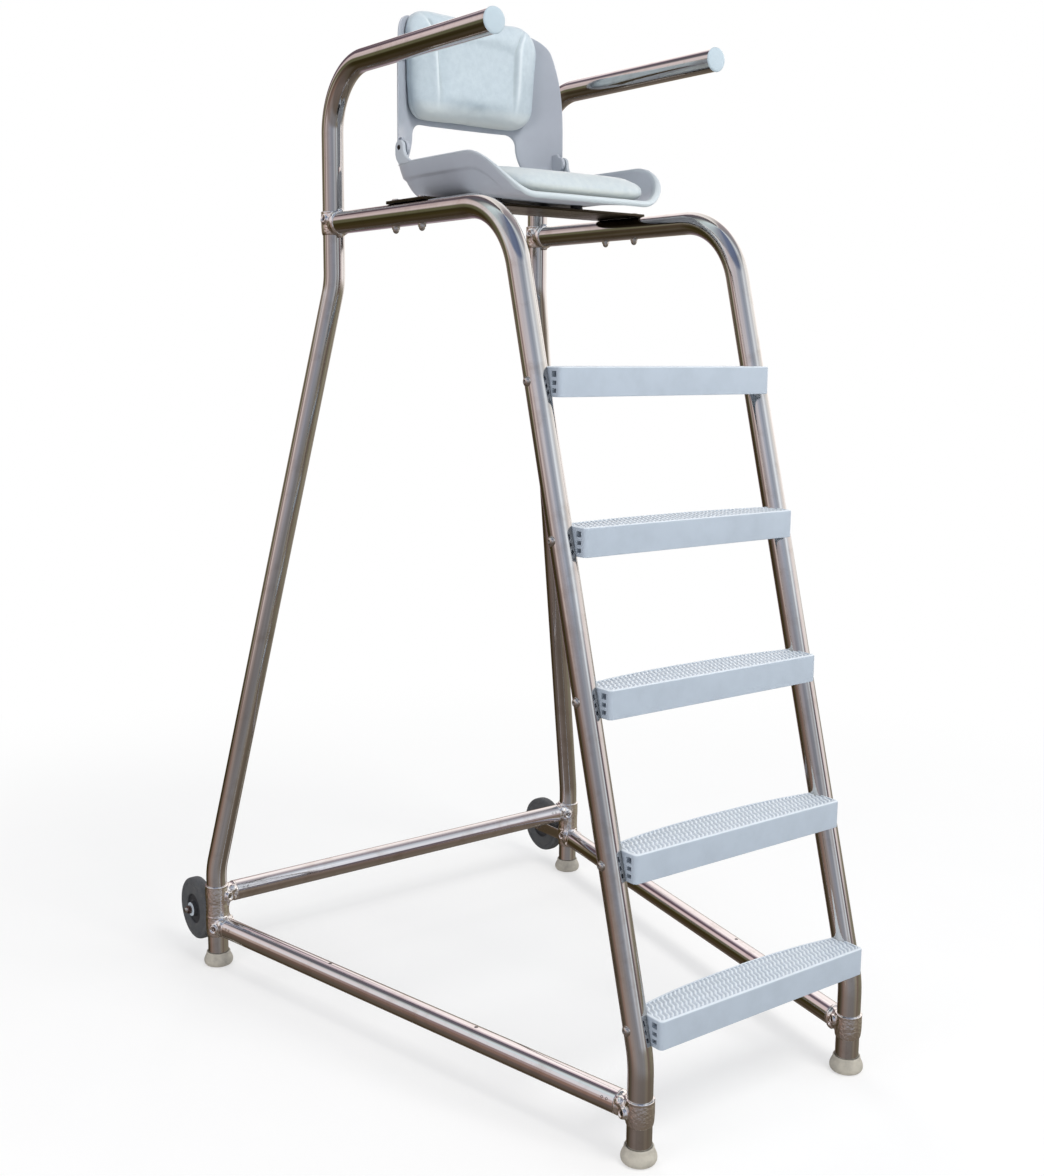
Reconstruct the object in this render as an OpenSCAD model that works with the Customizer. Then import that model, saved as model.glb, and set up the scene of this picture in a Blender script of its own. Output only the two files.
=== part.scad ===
// Pool lifeguard chair: a bent-tube tower with five moulded treads, a bucket seat
// whose back folds forward, and two wheels behind the rear legs for tilting and rolling.
// Millimetres. +Z is up and the climber comes from -Y. The origin is on the floor,
// in the middle of the space that the chair takes up.

/* [Tubes] */
// Outer diameter of every frame tube
tube_d = 48.3; // [40:0.1:58]
// Wall of the frame tubes
tube_wall = 1.7; // [1.2:0.1:3]

/* [Stance] */
// Width between the axes of the two side frames, at the ladder and at the arms
frame_w = 576; // [480:1:700]
// Width between the axes of the rear feet
rear_spread = 1084; // [880:2:1320]
// Depth from the front foot axis to the rear foot axis
base_depth = 1245; // [1030:5:1500]
// Depth from the front foot axis back to the upright that carries the arm
post_setback = 1084; // [960:2:1310]
// Lean of the ladder legs from upright
ladder_lean = 15.2; // [12:0.1:18.5]
// Height of a ladder leg's knee above the fitting below it
front_knee_gap = 72; // [50:1:120]
// Height of a rear leg's knee above the fitting below it
rear_knee_gap = 39; // [32:1:100]
// Depth below the rail at which the rear uprights start to splay
splay_drop = 132; // [80:1:200]
// Radius of the knee and splay bends
knee_r = 220; // [150:5:265]

/* [Rails and arms] */
// Height of the seat rail axis
rail_h = 1749; // [1450:1:2100]
// Radius of the bend from rail to ladder leg
rail_bend_r = 165; // [135:5:240]
// Height of the arm axis above the rail axis
arm_rise = 331; // [270:1:400]
// Reach of the arm, from the upright's axis to the tip of its cap
arm_reach = 615; // [500:5:740]
// Radius of the bend from upright to arm
arm_bend_r = 140; // [110:5:180]
// Thickness of the disc that closes an arm
cap_t = 4; // [2:0.5:8]
// How far that disc stands out past the tube
cap_lip = 1; // [0.5:0.5:3]

/* [Steps] */
// Gap between the knee's bend and the lowest tread
first_step_gap = 2; // [0:1:40]
// Depth of the top tread's bolt below the rail axis
top_step_drop = 333; // [270:1:420]
// Height of a tread
step_h = 56; // [40:1:70]
// How far a tread reaches in front of its bolt
step_front = 55; // [45:1:70]
// How far the middle of a tread reaches behind its bolt
step_back = 40; // [33:1:60]
// How much the back edge draws in towards the legs
step_back_taper = 22; // [10:1:27]
// How far a tread's end wraps round the leg, past the leg's axis
step_wrap = 12; // [6:1:16]
// Wall of a moulded tread
step_wall = 4; // [3:0.5:6]
// Thickness of the ribs under a tread
step_rib_t = 3; // [2:0.5:5]
// Diameter of the bolts that hold the treads
step_bolt_d = 10; // [8:1:12]

/* [Braces] */
// Height of the side brace axes
side_brace_h = 100; // [80:1:120]
// Length of the sleeve of a tee fitting
tee_sleeve_l = 52; // [45:1:72]
// Gap between the two sleeves on a rear leg
sleeve_gap = 23; // [3:1:40]
// Wall of a tee fitting
tee_wall = 3.6; // [2.5:0.1:5]
// Length of a tee's neck between its sleeve and the tube it holds
neck_l = 17; // [4:1:40]
// Distance from a leg's axis to the hole in its side brace
brace_hole_at = 412; // [200:1:500]
// Diameter of the holes in the side braces
brace_hole_d = 7; // [4:0.5:10]

/* [Feet] */
// Wall of a foot round its tube, at the top
foot_wall = 5.8; // [4:0.1:10]
// How far the foot flares from its top to the floor, each way
foot_flare = 4.5; // [0:0.5:12]
// Height of a foot
foot_h = 33; // [26:1:40]
// Thickness of a foot under its tube
foot_floor = 9; // [5:1:12]

/* [Wheels] */
// Wheel diameter
wheel_d = 152; // [120:1:184]
// Width of a wheel's tyre
wheel_w = 28; // [20:1:36]
// How far the hub stands out from each side of the tyre
hub_proud = 4.5; // [4.5:0.5:12]
// Height of the axle above the side brace's axis
axle_rise = 6; // [0:1:28]
// Clear gap between a wheel and the fittings on its leg
wheel_leg_gap = 5; // [5:1:20]
// Side clearance of a wheel's hub
hub_gap = 0.8; // [0.5:0.1:2]
// Axle diameter
axle_d = 12; // [10:1:16]
// Thickness of the flat bar that carries the axle
wheel_bar_t = 6; // [4:1:8]
// Height of that bar
wheel_bar_h = 30; // [26:1:40]

/* [Seat plate] */
// Depth of the plate that spans the rails
plate_depth = 150; // [125:1:200]
// Distance from the upright's axis to the plate's rear edge
plate_setback = 238; // [190:1:290]
// Thickness of the plate
plate_t = 6; // [4:0.5:10]
// How far the plate reaches past each rail's axis
plate_over = 12; // [11:1:24]
// Distance from the plate's front and rear edges to its bolts
plate_bolt_edge = 25; // [14:1:40]
// Diameter of the plate bolts
plate_bolt_d = 9.5; // [8:0.5:11]
// Height of the rubber spacers under the seat
spacer_h = 10; // [6:1:20]

/* [Seat] */
// Clear gap between the seat pan and the arm tube on each side
seat_side_gap = 31; // [25:1:60]
// Depth of the seat pan, front edge to back wall
pan_depth = 486; // [420:2:584]
// How far the pan's middle is ahead of the plate's middle
pan_lead = 9; // [0:1:30]
// Height of the pan's side wings above its base
wing_h = 81; // [68:1:98]
// How much higher the pan's rim is at the back
back_rim_rise = 10; // [0:1:16]
// Wall of the seat pan
pan_t = 6; // [5:0.5:8]
// Width of the pan's curved side, from its flat base out to its rim
pan_curve = 90; // [74:1:100]
// Thickness of the seat cushion
cushion_t = 54; // [40:1:66]
// Gap between the cushion's widest line and the pan's outer side
cushion_side_gap = 36; // [32:1:60]

/* [Seat back] */
// Distance of the hinge in front of the pan's back wall
hinge_inset = 102; // [90:1:122]
// Height of the hinge above the pan's wings
hinge_rise = 31; // [28:1:40]
// Gap between an ear of the pan and the shell's lug inside it
hinge_gap = 3; // [1:0.5:6]
// How much narrower the back shell is than the pan
back_narrower = 14; // [10:1:24]
// How much the back shell narrows on each side towards its top
back_taper = 32; // [10:1:60]
// Height of the back shell above the hinge
back_h = 293; // [244:1:352]
// Wall of the back shell
back_t = 6; // [5:0.5:8]
// Width of a leg of the back shell beside the opening
back_leg_w = 83; // [76:1:120]
// Height of that opening above the hinge
cutout_h = 67; // [45:1:74]
// Distance from the back cushion's side to the shell's side at its top
pad_edge = 11; // [6:1:30]
// Depth from the shell's middle to the face of the back cushion
back_pad_t = 64; // [50:1:70]
// Diameter of the hinge bolts
hinge_bolt_d = 8; // [6:1:10]

/* [Hidden] */
$fn = 96;
step_count = 5;        // one node each
eps = 0.5;
fit = 0.1;             // clearance of a sleeve or plug on its tube
running = 0.05;        // radial clearance of a turning bore
bend_line = 3;         // width of the mark that the bending die leaves
bend_mark = 0.05;      // and its height
tube_r = tube_d / 2;
bore_r = tube_r - tube_wall;
tee_r = tube_r + fit + tee_wall;
half_w = frame_w / 2;
rear_x = rear_spread / 2;
tan_lean = tan(ladder_lean);

// Fittings: a neck is a little thinner than the spigot, and a tube's end stays off a sleeve
neck_r = bore_r - 1.2;
spigot_l = 45;
rail_neck_l = 2;
brace_gap = tee_r + neck_l;              // from a leg's axis to the end of its brace
rear_brace_h = side_brace_h + tee_sleeve_l + sleeve_gap;
front_knee_h = side_brace_h + tee_sleeve_l / 2 + front_knee_gap;
rear_knee_h = rear_brace_h + tee_sleeve_l / 2 + rear_knee_gap;
splay_h = rail_h - splay_drop;
arm_h = rail_h + arm_rise;
cap_plug_l = 22;

// Treads divide the climb from the knee to the rail evenly
knee_top = front_knee_h + knee_r * tan(ladder_lean / 2) * cos(ladder_lean);
first_step_h = knee_top + first_step_gap + step_h / 2;
step_rise = (rail_h - top_step_drop - first_step_h) / (step_count - 1);

// Feet and wheels; a wheel is behind its rear leg and in line with it
foot_top_r = tube_r + foot_wall;
foot_r = foot_top_r + foot_flare;
wheel_r = wheel_d / 2;
wheel_back = tee_r + wheel_leg_gap + wheel_r;
axle_h = side_brace_h + axle_rise;

// Front to back places, so that the chair's footprint is centred on the origin
first_step_lead = step_front - (first_step_h - front_knee_h) * tan_lean;
front_ext = max(foot_r, first_step_lead);
rear_ext = wheel_back + wheel_r;
y_front = -(front_ext + base_depth + rear_ext) / 2 + front_ext;
y_rear = y_front + base_depth;
y_post = y_front + post_setback;
y_bend = y_front + (rail_h - front_knee_h) * tan_lean;

// Seat heights and places
plate_z = rail_h + tube_r;
plate_y1 = y_post - plate_setback;
plate_y0 = plate_y1 - plate_depth;
plate_yc = (plate_y0 + plate_y1) / 2;
plate_bolt_y = plate_depth / 2 - plate_bolt_edge;
pan_w = frame_w - tube_d - 2 * seat_side_gap;
pan_z = plate_z + plate_t + spacer_h;
pan_floor = pan_z + pan_t;
pan_yc = plate_yc - pan_lead;
pan_front = pan_yc - pan_depth / 2;
pan_back = pan_yc + pan_depth / 2;
wing_z = pan_z + wing_h;
spacer_r = 14;
spacer_edge = 16;                        // from the plate's edge to a spacer's axis
spacer_x = pan_w / 2 - 123;

// Hinge: an ear of the pan, then the gap, then the shell's lug inside it
hinge_z = wing_z + hinge_rise;
hinge_y = pan_back - hinge_inset;
hinge_lug_r = 16;
hinge_lug_t = 8;
ear_sink = 1.5;                          // how far an ear runs into the pan's wall
ear_x = pan_w / 2 - pan_t - hinge_lug_t + ear_sink;   // inner face of an ear
lug_x = ear_x - hinge_gap - hinge_lug_t;               // inner face of a lug
lug_top = 24;                            // height above the hinge where the flanks reach full width

// Back shell: its middle stands just ahead of the pan's back wall, its flanks just behind the hinge
back_w = pan_w - back_narrower;
back_mid_y = pan_back - 10;
back_wrap = back_mid_y - hinge_y - 4;
back_leg_gap = 5;                        // from the shell's legs to the pan's rim
back_low = back_rim_rise + back_leg_gap - hinge_rise;  // foot of the legs, from the hinge
cutout_w = back_w - 2 * back_leg_w;
cutout_flare = 18;                       // how much wider the opening is at its foot, each way
back_pad_w = back_w - 2 * back_taper - 2 * pad_edge;

// Hardware
step_bolt_r = step_bolt_d / 2;
step_bolt_head_r = step_bolt_r * 1.7;
step_bolt_depth = tube_r + 18;           // from the leg's axis into the tread
boss_wall = 5;                           // of the bosses that the tread bolts screw into
plate_bolt_r = plate_bolt_d / 2;
nut_h = 5;                               // straight part of a domed nut
axle_r = axle_d / 2;
washer_t = 2;

steel = "#8E867C";
polished = "#B8B4AE";
tread_blue = "#BCCAD6";
ivory = "#CFCFBE";
rubber_grey = "#565A5C";
black = "#1E1E20";
shell_white = "#C6C8D2";
vinyl_white = "#D8E2E6";

// ---- helpers -------------------------------------------------------------

function unit(v) = v / norm(v);
function smooth(t) = let (c = min(1, max(0, t))) c * c * (3 - 2 * c);

// Places its children with local X along ex and local Z along ez, at p
module oriented(p, ex, ez) {
    ey = cross(ez, ex);
    multmatrix([[ex[0], ey[0], ez[0], p[0]],
                [ex[1], ey[1], ez[1], p[1]],
                [ex[2], ey[2], ez[2], p[2]],
                [0, 0, 0, 1]]) children();
}

// A direction square to d, for turning a cylinder along d
function square_to(d) = unit(abs(d[2]) < 0.9 ? cross([0, 0, 1], d) : cross([0, 1, 0], d));

// A round bar from a to b
module bar(a, b, r) {
    d = unit(b - a);
    oriented(a, square_to(d), d) cylinder(r = r, h = norm(b - a));
}

// Length of straight that a bend at corner i takes from each side
function turn(p, i) = acos(unit(p[i] - p[i - 1]) * unit(p[i + 1] - p[i]));
function trim_at(p, radii, i) = (i == 0 || i == len(p) - 1) ? 0 : radii[i] * tan(turn(p, i) / 2);

// A round bar that follows points p, bent to radii[i] at corner i. A faint line, as a
// bending die leaves it, marks where each bend starts and ends.
module bent_bar(p, radii, r) {
    for (i = [0 : len(p) - 2]) {
        d = unit(p[i + 1] - p[i]);
        bar(p[i] + d * trim_at(p, radii, i), p[i + 1] - d * trim_at(p, radii, i + 1), r);
    }
    for (i = [1 : len(p) - 2]) {
        d_in = unit(p[i] - p[i - 1]);
        d_out = unit(p[i + 1] - p[i]);
        inward = unit(d_out - d_in * (d_in * d_out));
        start = p[i] - d_in * trim_at(p, radii, i);
        oriented(start + inward * radii[i], -inward, cross(-inward, d_in))
            rotate_extrude(angle = turn(p, i)) translate([radii[i], 0]) circle(r);
        for (q = [[start, d_in], [p[i] + d_out * trim_at(p, radii, i), d_out]])
            bar(q[0] - q[1] * bend_line / 2, q[0] + q[1] * bend_line / 2, r + bend_mark);
    }
}

// The same with the tube's bore, open at both ends
module bent_tube(p, radii) {
    last = len(p) - 1;
    longer = [for (i = [0 : last])
        i == 0 ? p[0] + unit(p[0] - p[1]) * eps
        : i == last ? p[last] + unit(p[last] - p[last - 1]) * eps
        : p[i]];
    difference() {
        bent_bar(p, radii, tube_r);
        bent_bar(longer, radii, bore_r);
    }
}

// Children on the left side, and mirrored on the right
module side(s) {
    if (s < 0) children();
    else mirror([1, 0, 0]) children();
}

function step_z(i) = first_step_h + i * step_rise;
function leg_y(z) = y_front + (z - front_knee_h) * tan_lean;

// ---- side frames, drawn for the left -------------------------------------

module front_leg_rail() {
    color(steel) difference() {
        bent_tube([[-half_w, y_front, foot_floor],
                   [-half_w, y_front, front_knee_h],
                   [-half_w, y_bend, rail_h],
                   [-half_w, y_post - tee_r - rail_neck_l, rail_h]],
                  [0, knee_r, rail_bend_r, 0]);
        for (i = [0 : step_count - 1])
            translate([-half_w - tube_d, leg_y(step_z(i)), step_z(i)])
                rotate([0, 90, 0]) cylinder(r = step_bolt_r + fit, h = 2 * tube_d);
        for (s = [-1, 1])
            translate([-half_w, plate_yc + s * plate_bolt_y, rail_h - tube_d])
                cylinder(r = plate_bolt_r + fit, h = 2 * tube_d);
    }
}

module rear_leg_arm() {
    color(steel) bent_tube([[-rear_x, y_rear, foot_floor],
                            [-rear_x, y_rear, rear_knee_h],
                            [-half_w, y_post, splay_h],
                            [-half_w, y_post, arm_h],
                            [-half_w, y_post - arm_reach + cap_t, arm_h]],
                           [0, knee_r, knee_r, arm_bend_r, 0]);
}

module arm_cap() {
    tip = [-half_w, y_post - arm_reach, arm_h];
    color("#DCE8EA") translate(tip) rotate([-90, 0, 0]) {
        cylinder(r = tube_r + cap_lip, h = cap_t);
        cylinder(r = bore_r - fit, h = cap_t + cap_plug_l);
    }
}

// A tee fitting: a sleeve on a leg along local Z, and a neck along local X whose
// spigot plugs into the tube that starts reach from the leg's axis
module tee(reach) {
    color(polished) difference() {
        union() {
            translate([0, 0, -tee_sleeve_l / 2]) cylinder(r = tee_r, h = tee_sleeve_l);
            rotate([0, 90, 0]) cylinder(r = neck_r, h = reach);
            rotate([0, 90, 0]) cylinder(r = bore_r - fit, h = reach + spigot_l);
        }
        translate([0, 0, -tee_sleeve_l]) cylinder(r = tube_r + fit, h = 2 * tee_sleeve_l);
    }
}

module rail_tee() {
    color(polished) translate([-half_w, y_post, rail_h]) rotate([0, 0, -90])
        tee(tee_r + rail_neck_l);
}

// Plan direction of the left side brace, from the rear leg to the front leg
brace_run = [rear_x - half_w, y_front - y_rear, 0];
brace_dir = unit(brace_run);
brace_turn = atan2(brace_dir[1], brace_dir[0]);
rear_low = [-rear_x, y_rear, side_brace_h];
front_low = [-half_w, y_front, side_brace_h];

module rear_tee() { translate(rear_low) rotate([0, 0, brace_turn]) tee(brace_gap); }
module front_tee() { translate(front_low) rotate([0, 0, brace_turn + 180]) tee(brace_gap); }
module cross_tee() { translate([-rear_x, y_rear, rear_brace_h]) tee(brace_gap); }

module side_brace() {
    a = rear_low + brace_dir * brace_gap;
    b = front_low - brace_dir * brace_gap;
    color(polished) difference() {
        bar(a, b, tube_r);
        bar(a - brace_dir, b + brace_dir, bore_r);
        for (p = [rear_low + brace_dir * brace_hole_at, front_low - brace_dir * brace_hole_at])
            translate(p) cylinder(r = brace_hole_d / 2, h = tube_d);
    }
}

module rear_cross_brace() {
    a = [-rear_x + brace_gap, y_rear, rear_brace_h];
    b = [rear_x - brace_gap, y_rear, rear_brace_h];
    color(polished) difference() {
        bar(a, b, tube_r);
        bar(a - [1, 0, 0], b + [1, 0, 0], bore_r);
    }
}

module foot(x, y) {
    color(ivory) translate([x, y, 0]) difference() {
        cylinder(r1 = foot_r, r2 = foot_top_r, h = foot_h);
        translate([0, 0, foot_floor]) cylinder(r = tube_r + fit, h = foot_h);
    }
}

// ---- steps ---------------------------------------------------------------

// Plan outline of a tread, its bolt's axis at y = 0
step_corner = 8;
function step_outline(inset) = let (
        half_l = half_w - step_wrap - inset,
        y0 = -step_front + inset,
        y1 = step_back - inset,
        bow = 2.4,
        n = 8)
    concat(
        [for (k = [0 : n]) let (a = 270 + 90 * k / n)
            [half_l - step_corner * (1 - cos(a)), y0 + step_corner * (1 + sin(a))]],
        [for (k = [0 : 2 * n]) let (x = half_l * (1 - k / n))
            [x, y1 - step_back_taper * pow(abs(x) / half_l, bow)]],
        [for (k = [0 : n]) let (a = 180 + 90 * k / n)
            [-half_l + step_corner * (1 + cos(a)), y0 + step_corner * (1 + sin(a))]]);

// Both ladder legs near height z, as bars of radius r
module leaning_leg(y, z, r) {
    run = [0, step_h * tan_lean, step_h];
    for (s = [-1, 1]) bar([s * half_w, y, z] - run, [s * half_w, y, z] + run, r);
}

// The ribs along a tread and those across it
module step_ribs(half_l) {
    rib_drop = 8;      // the ribs stop short of the tread's lower edge
    ribs_each_way = 2;
    translate([-half_l, -step_rib_t / 2, rib_drop]) cube([2 * half_l, step_rib_t, step_h - rib_drop]);
    for (k = [-ribs_each_way : ribs_each_way])
        translate([k * half_l / (ribs_each_way + 1) - step_rib_t / 2, -step_front, rib_drop])
            cube([step_rib_t, step_front + step_back, step_h - rib_drop]);
}

// Three windows near the front corner of each end
module step_windows(half_l) {
    window = [12, 8];
    pitch = 15;
    for (k = [-1 : 1])
        translate([-half_l - eps, window[0] - step_front, k * pitch - window[1] / 2])
            cube([2 * (half_l + eps), window[0], window[1]]);
}

// A tread: a moulded box open underneath, ribbed inside, hollowed at its ends to fit the legs
module tread(i) {
    z = step_z(i);
    y = leg_y(z);
    half_l = half_w - step_wrap;
    color(tread_blue) difference() {
        union() {
            difference() {
                translate([0, y, z - step_h / 2]) linear_extrude(step_h) polygon(step_outline(0));
                translate([0, y, z - step_h / 2 - eps]) linear_extrude(step_h - step_wall + eps)
                    polygon(step_outline(step_wall));
            }
            // the walls behind the pockets and the ribs, kept inside the box
            intersection() {
                translate([0, y, z - step_h / 2]) linear_extrude(step_h - step_wall / 2)
                    polygon(step_outline(step_wall / 4));
                union() {
                    leaning_leg(y, z, tube_r + fit + step_wall);
                    translate([0, y, z - step_h / 2]) step_ribs(half_l);
                }
            }
            for (s = [-1, 1])
                translate([s * (half_w - tube_r), y, z]) rotate([0, -s * 90, 0])
                    cylinder(r = step_bolt_r + boss_wall, h = step_bolt_depth - tube_r + step_wall);
        }
        leaning_leg(y, z, tube_r + fit);
        for (s = [-1, 1])
            translate([s * half_w, y, z]) rotate([0, -s * 90, 0])
                cylinder(r = step_bolt_r + fit, h = step_bolt_depth + step_wall / 2);
        translate([0, y, z]) step_windows(half_l);
    }
}

// Ten bolts: a shank through the leg into the tread, and a flat domed head outside
module step_bolts() {
    rim_t = 2;
    dome_h = 3.5;
    color(polished) for (i = [0 : step_count - 1])
        translate([-half_w, leg_y(step_z(i)), step_z(i)]) rotate([0, 90, 0]) translate([0, 0, -tube_r]) {
            cylinder(r = step_bolt_r, h = tube_r + step_bolt_depth);
            translate([0, 0, -rim_t]) cylinder(r = step_bolt_head_r, h = rim_t);
            translate([0, 0, -rim_t - dome_h]) cylinder(r1 = step_bolt_r, r2 = step_bolt_head_r, h = dome_h);
        }
}

// ---- wheels, drawn for the left ------------------------------------------

wheel_y = y_rear + wheel_back;
hub_half = wheel_w / 2 + hub_proud;
bar_x = -rear_x + hub_half + hub_gap;    // outer face of the bar, on the wheel's inner side

// A flat bar from the lower fitting's sleeve to the axle
module wheel_bar() {
    color(polished) difference() {
        union() {
            translate([bar_x, y_rear, axle_h - wheel_bar_h / 2]) cube([wheel_bar_t, wheel_back, wheel_bar_h]);
            translate([bar_x, wheel_y, axle_h]) rotate([0, 90, 0]) cylinder(d = wheel_bar_h, h = wheel_bar_t);
        }
        translate([-rear_x, y_rear, 0]) cylinder(r = tee_r, h = 2 * axle_h);
        translate([bar_x - 1, wheel_y, axle_h]) rotate([0, 90, 0])
            cylinder(r = axle_r + fit, h = wheel_bar_t + 2);
    }
}

axle_nut_h = 9;
axle_tip = 7;                            // thread that shows past the nut

// A bolt with its head inside the bar
module axle() {
    head_h = 7;
    out = 2 * (hub_half + hub_gap) + washer_t + axle_nut_h + axle_tip;
    color(polished) translate([bar_x + wheel_bar_t, wheel_y, axle_h]) rotate([0, -90, 0]) {
        cylinder(r = axle_r, h = wheel_bar_t + out);
        translate([0, 0, -head_h]) cylinder(r = axle_r * 1.85, h = head_h, $fn = 6);
    }
}

// The washer and nut outside the hub
module axle_nut() {
    face = -rear_x - hub_half - hub_gap;
    color(polished) translate([face, wheel_y, axle_h]) rotate([0, -90, 0]) difference() {
        union() {
            cylinder(r = axle_r + 11, h = washer_t);
            translate([0, 0, washer_t]) cylinder(r = axle_r * 1.7, h = axle_nut_h, $fn = 6);
        }
        translate([0, 0, -1]) cylinder(r = axle_r, h = washer_t + axle_nut_h + 2);
    }
}

// Half the outline of a wheel: hub, dished web and tyre
module wheel() {
    tyre = wheel_w / 2;
    web = tyre - 4;
    hub_r = axle_r + 12;
    web_r = wheel_r * 0.46;
    edge = 5;
    half = [[axle_r + running, hub_half], [hub_r, hub_half], [hub_r + 4, web], [web_r, web],
            [web_r + 3, tyre], [wheel_r - edge, tyre], [wheel_r, tyre - edge]];
    last = len(half) - 1;
    color(rubber_grey) translate([-rear_x, wheel_y, axle_h]) rotate([0, 90, 0])
        rotate_extrude() polygon(concat(
            [for (p = half) [p[0], -p[1]]],
            [for (k = [last : -1 : 0]) half[k]]));
}

// ---- seat plate and its bolts --------------------------------------------

module each_plate_bolt() {
    for (sx = [-1, 1], sy = [-1, 1])
        translate([sx * half_w, plate_yc + sy * plate_bolt_y, 0]) children();
}

module seat_plate() {
    half = half_w + plate_over;
    color("#6F6A62") difference() {
        translate([-half, plate_y0, plate_z]) cube([2 * half, plate_depth, plate_t]);
        each_plate_bolt() translate([0, 0, plate_z - 1]) cylinder(r = plate_bolt_r + fit, h = plate_t + 2);
    }
}

// Bolts down through plate and rail, each closed by a domed nut
module plate_bolts() {
    under = rail_h - tube_r;
    head_t = 4;
    head_r = plate_bolt_r * 1.9;
    color(polished) each_plate_bolt() {
        translate([0, 0, under - nut_h]) cylinder(r = plate_bolt_r, h = nut_h + tube_d + plate_t + head_t / 2);
        translate([0, 0, plate_z + plate_t]) cylinder(r = head_r, h = head_t);
        translate([0, 0, under - nut_h]) cylinder(r = head_r, h = nut_h);
        translate([0, 0, under - nut_h]) intersection() {
            sphere(r = head_r);
            translate([-2 * head_r, -2 * head_r, -2 * head_r]) cube([4 * head_r, 4 * head_r, 2 * head_r]);
        }
    }
}

module seat_spacers() {
    color(black) for (x = [-spacer_x, spacer_x], y = [plate_y0 + spacer_edge, plate_y1 - spacer_edge])
        translate([x, y, plate_z + plate_t]) cylinder(r = spacer_r, h = spacer_h);
}

// ---- seat pan ------------------------------------------------------------

// A rounded plan outline: squarer at the front than at the back
function pan_pow(c, n) = sign(c) * pow(abs(c), 2 / n);
function plan(a, half_x, half_y) = let (n = sin(a) < 0 ? 6 : 3.5)
    [half_x * pan_pow(cos(a), n), half_y * pan_pow(sin(a), n)];
function pan_plan(a, inset) = plan(a, pan_w / 2 - inset, pan_depth / 2 - inset);

// Height of the rim above the pan's base: level wings, a low front, a slightly raised back
front_rim_h = 5;
front_fall = 128;      // depth over which the wings fall to the front edge
front_sweep = 86;      // and how far that fall runs in from the sides
back_rise_run = 75;    // depth over which the rim rises again at the back
function rim_h(x, y) = let (
        lead = front_fall - pan_depth / 2,
        run = max(0, lead - y) + pan_w / 2 - abs(x),
        drop = y < lead ? smooth(run / (front_fall + front_sweep)) : 0,
        rise = smooth(1 + (y + 8 - pan_depth / 2) / back_rise_run))
    wing_h * (1 - drop) + front_rim_h * drop + back_rim_rise * rise;

// Rings of the pan from its flat base to its rim: distance in from the rim as a share of the
// curved side, and share of the rim's height
pan_rings = [[1, 0], [0.68, 0.02], [0.44, 0.11], [0.26, 0.28], [0.12, 0.56], [0.04, 0.82], [0, 1]];
pan_steps = 64;

// A point of the bowl: angle a, ring r, on its inner or its outer side. Between the flat base
// and the rim the outer side is drawn in a little, which keeps the wall even on the slope.
function rim_at(a) = let (e = pan_plan(a, pan_t)) rim_h(e[0], e[1]);
function inner_point(a, r) = let (p = pan_plan(a, pan_t + pan_curve * r[0]))
    [p[0], pan_yc + p[1], pan_floor + (rim_at(a) - pan_t) * r[1]];
function outer_point(a, r) = let (p = pan_plan(a, pan_curve * r[0]))
    [p[0], pan_yc + p[1], pan_z + (rim_at(a) - pan_t * (1 - r[1]) * r[1]) * r[1]];

module pan_bowl() {
    n = len(pan_rings);
    angles = [for (k = [0 : pan_steps - 1]) 360 * k / pan_steps];
    inner = [for (r = pan_rings, a = angles) inner_point(a, r)];
    outer = [for (r = pan_rings, a = angles) outer_point(a, r)];
    m = n * pan_steps;
    points = concat(inner, outer, [[0, pan_yc, pan_floor]], [[0, pan_yc, pan_z]]);
    function at(ring, k, base) = base + ring * pan_steps + k % pan_steps;
    faces = concat(
        [for (k = [0 : pan_steps - 1]) [2 * m, at(0, k, 0), at(0, k + 1, 0)]],
        [for (r = [0 : n - 2], k = [0 : pan_steps - 1])
            each [[at(r, k, 0), at(r + 1, k, 0), at(r + 1, k + 1, 0)],
                  [at(r, k, 0), at(r + 1, k + 1, 0), at(r, k + 1, 0)]]],
        [for (k = [0 : pan_steps - 1])
            each [[at(n - 1, k, 0), at(n - 1, k, m), at(n - 1, k + 1, m)],
                  [at(n - 1, k, 0), at(n - 1, k + 1, m), at(n - 1, k + 1, 0)]]],
        [for (k = [0 : pan_steps - 1]) [2 * m + 1, at(0, k + 1, m), at(0, k, m)]],
        [for (r = [0 : n - 2], k = [0 : pan_steps - 1])
            each [[at(r, k, m), at(r + 1, k + 1, m), at(r + 1, k, m)],
                  [at(r, k, m), at(r, k + 1, m), at(r + 1, k + 1, m)]]]);
    polyhedron(points, [for (f = faces) [f[0], f[2], f[1]]]);
}

// Side view of a hinge ear below its round top: the front edge sweeps down to the rim
function ear_outline() = let (foot = -hinge_rise, sink = 12, reach = 46, n = 6)
    concat([[hinge_lug_r, 0], [hinge_lug_r - 8, foot - sink], [-hinge_lug_r - reach, foot - sink],
            [-hinge_lug_r - reach, foot - 2]],
           [for (k = [0 : n]) let (a = 90 * k / n)
               [-hinge_lug_r - reach * (1 - sin(a)), (foot - 2) * cos(a)]]);

// A disc of the hinge, or a bore through it, standing out along X from x0
module hinge_disc(x0, r, t) {
    translate([x0, hinge_y, hinge_z]) rotate([0, 90, 0]) cylinder(r = r, h = t);
}

module seat_pan() {
    color(shell_white) difference() {
        union() {
            pan_bowl();
            for (x0 = [-ear_x - hinge_lug_t, ear_x]) {
                hinge_disc(x0, hinge_lug_r, hinge_lug_t);
                translate([x0, hinge_y, hinge_z]) rotate([90, 0, 90]) linear_extrude(hinge_lug_t)
                    polygon(ear_outline());
            }
        }
        for (s = [-1, 1])
            hinge_disc(s * ear_x - 2 * hinge_lug_t, hinge_bolt_d / 2 + fit, 4 * hinge_lug_t);
    }
}

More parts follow.
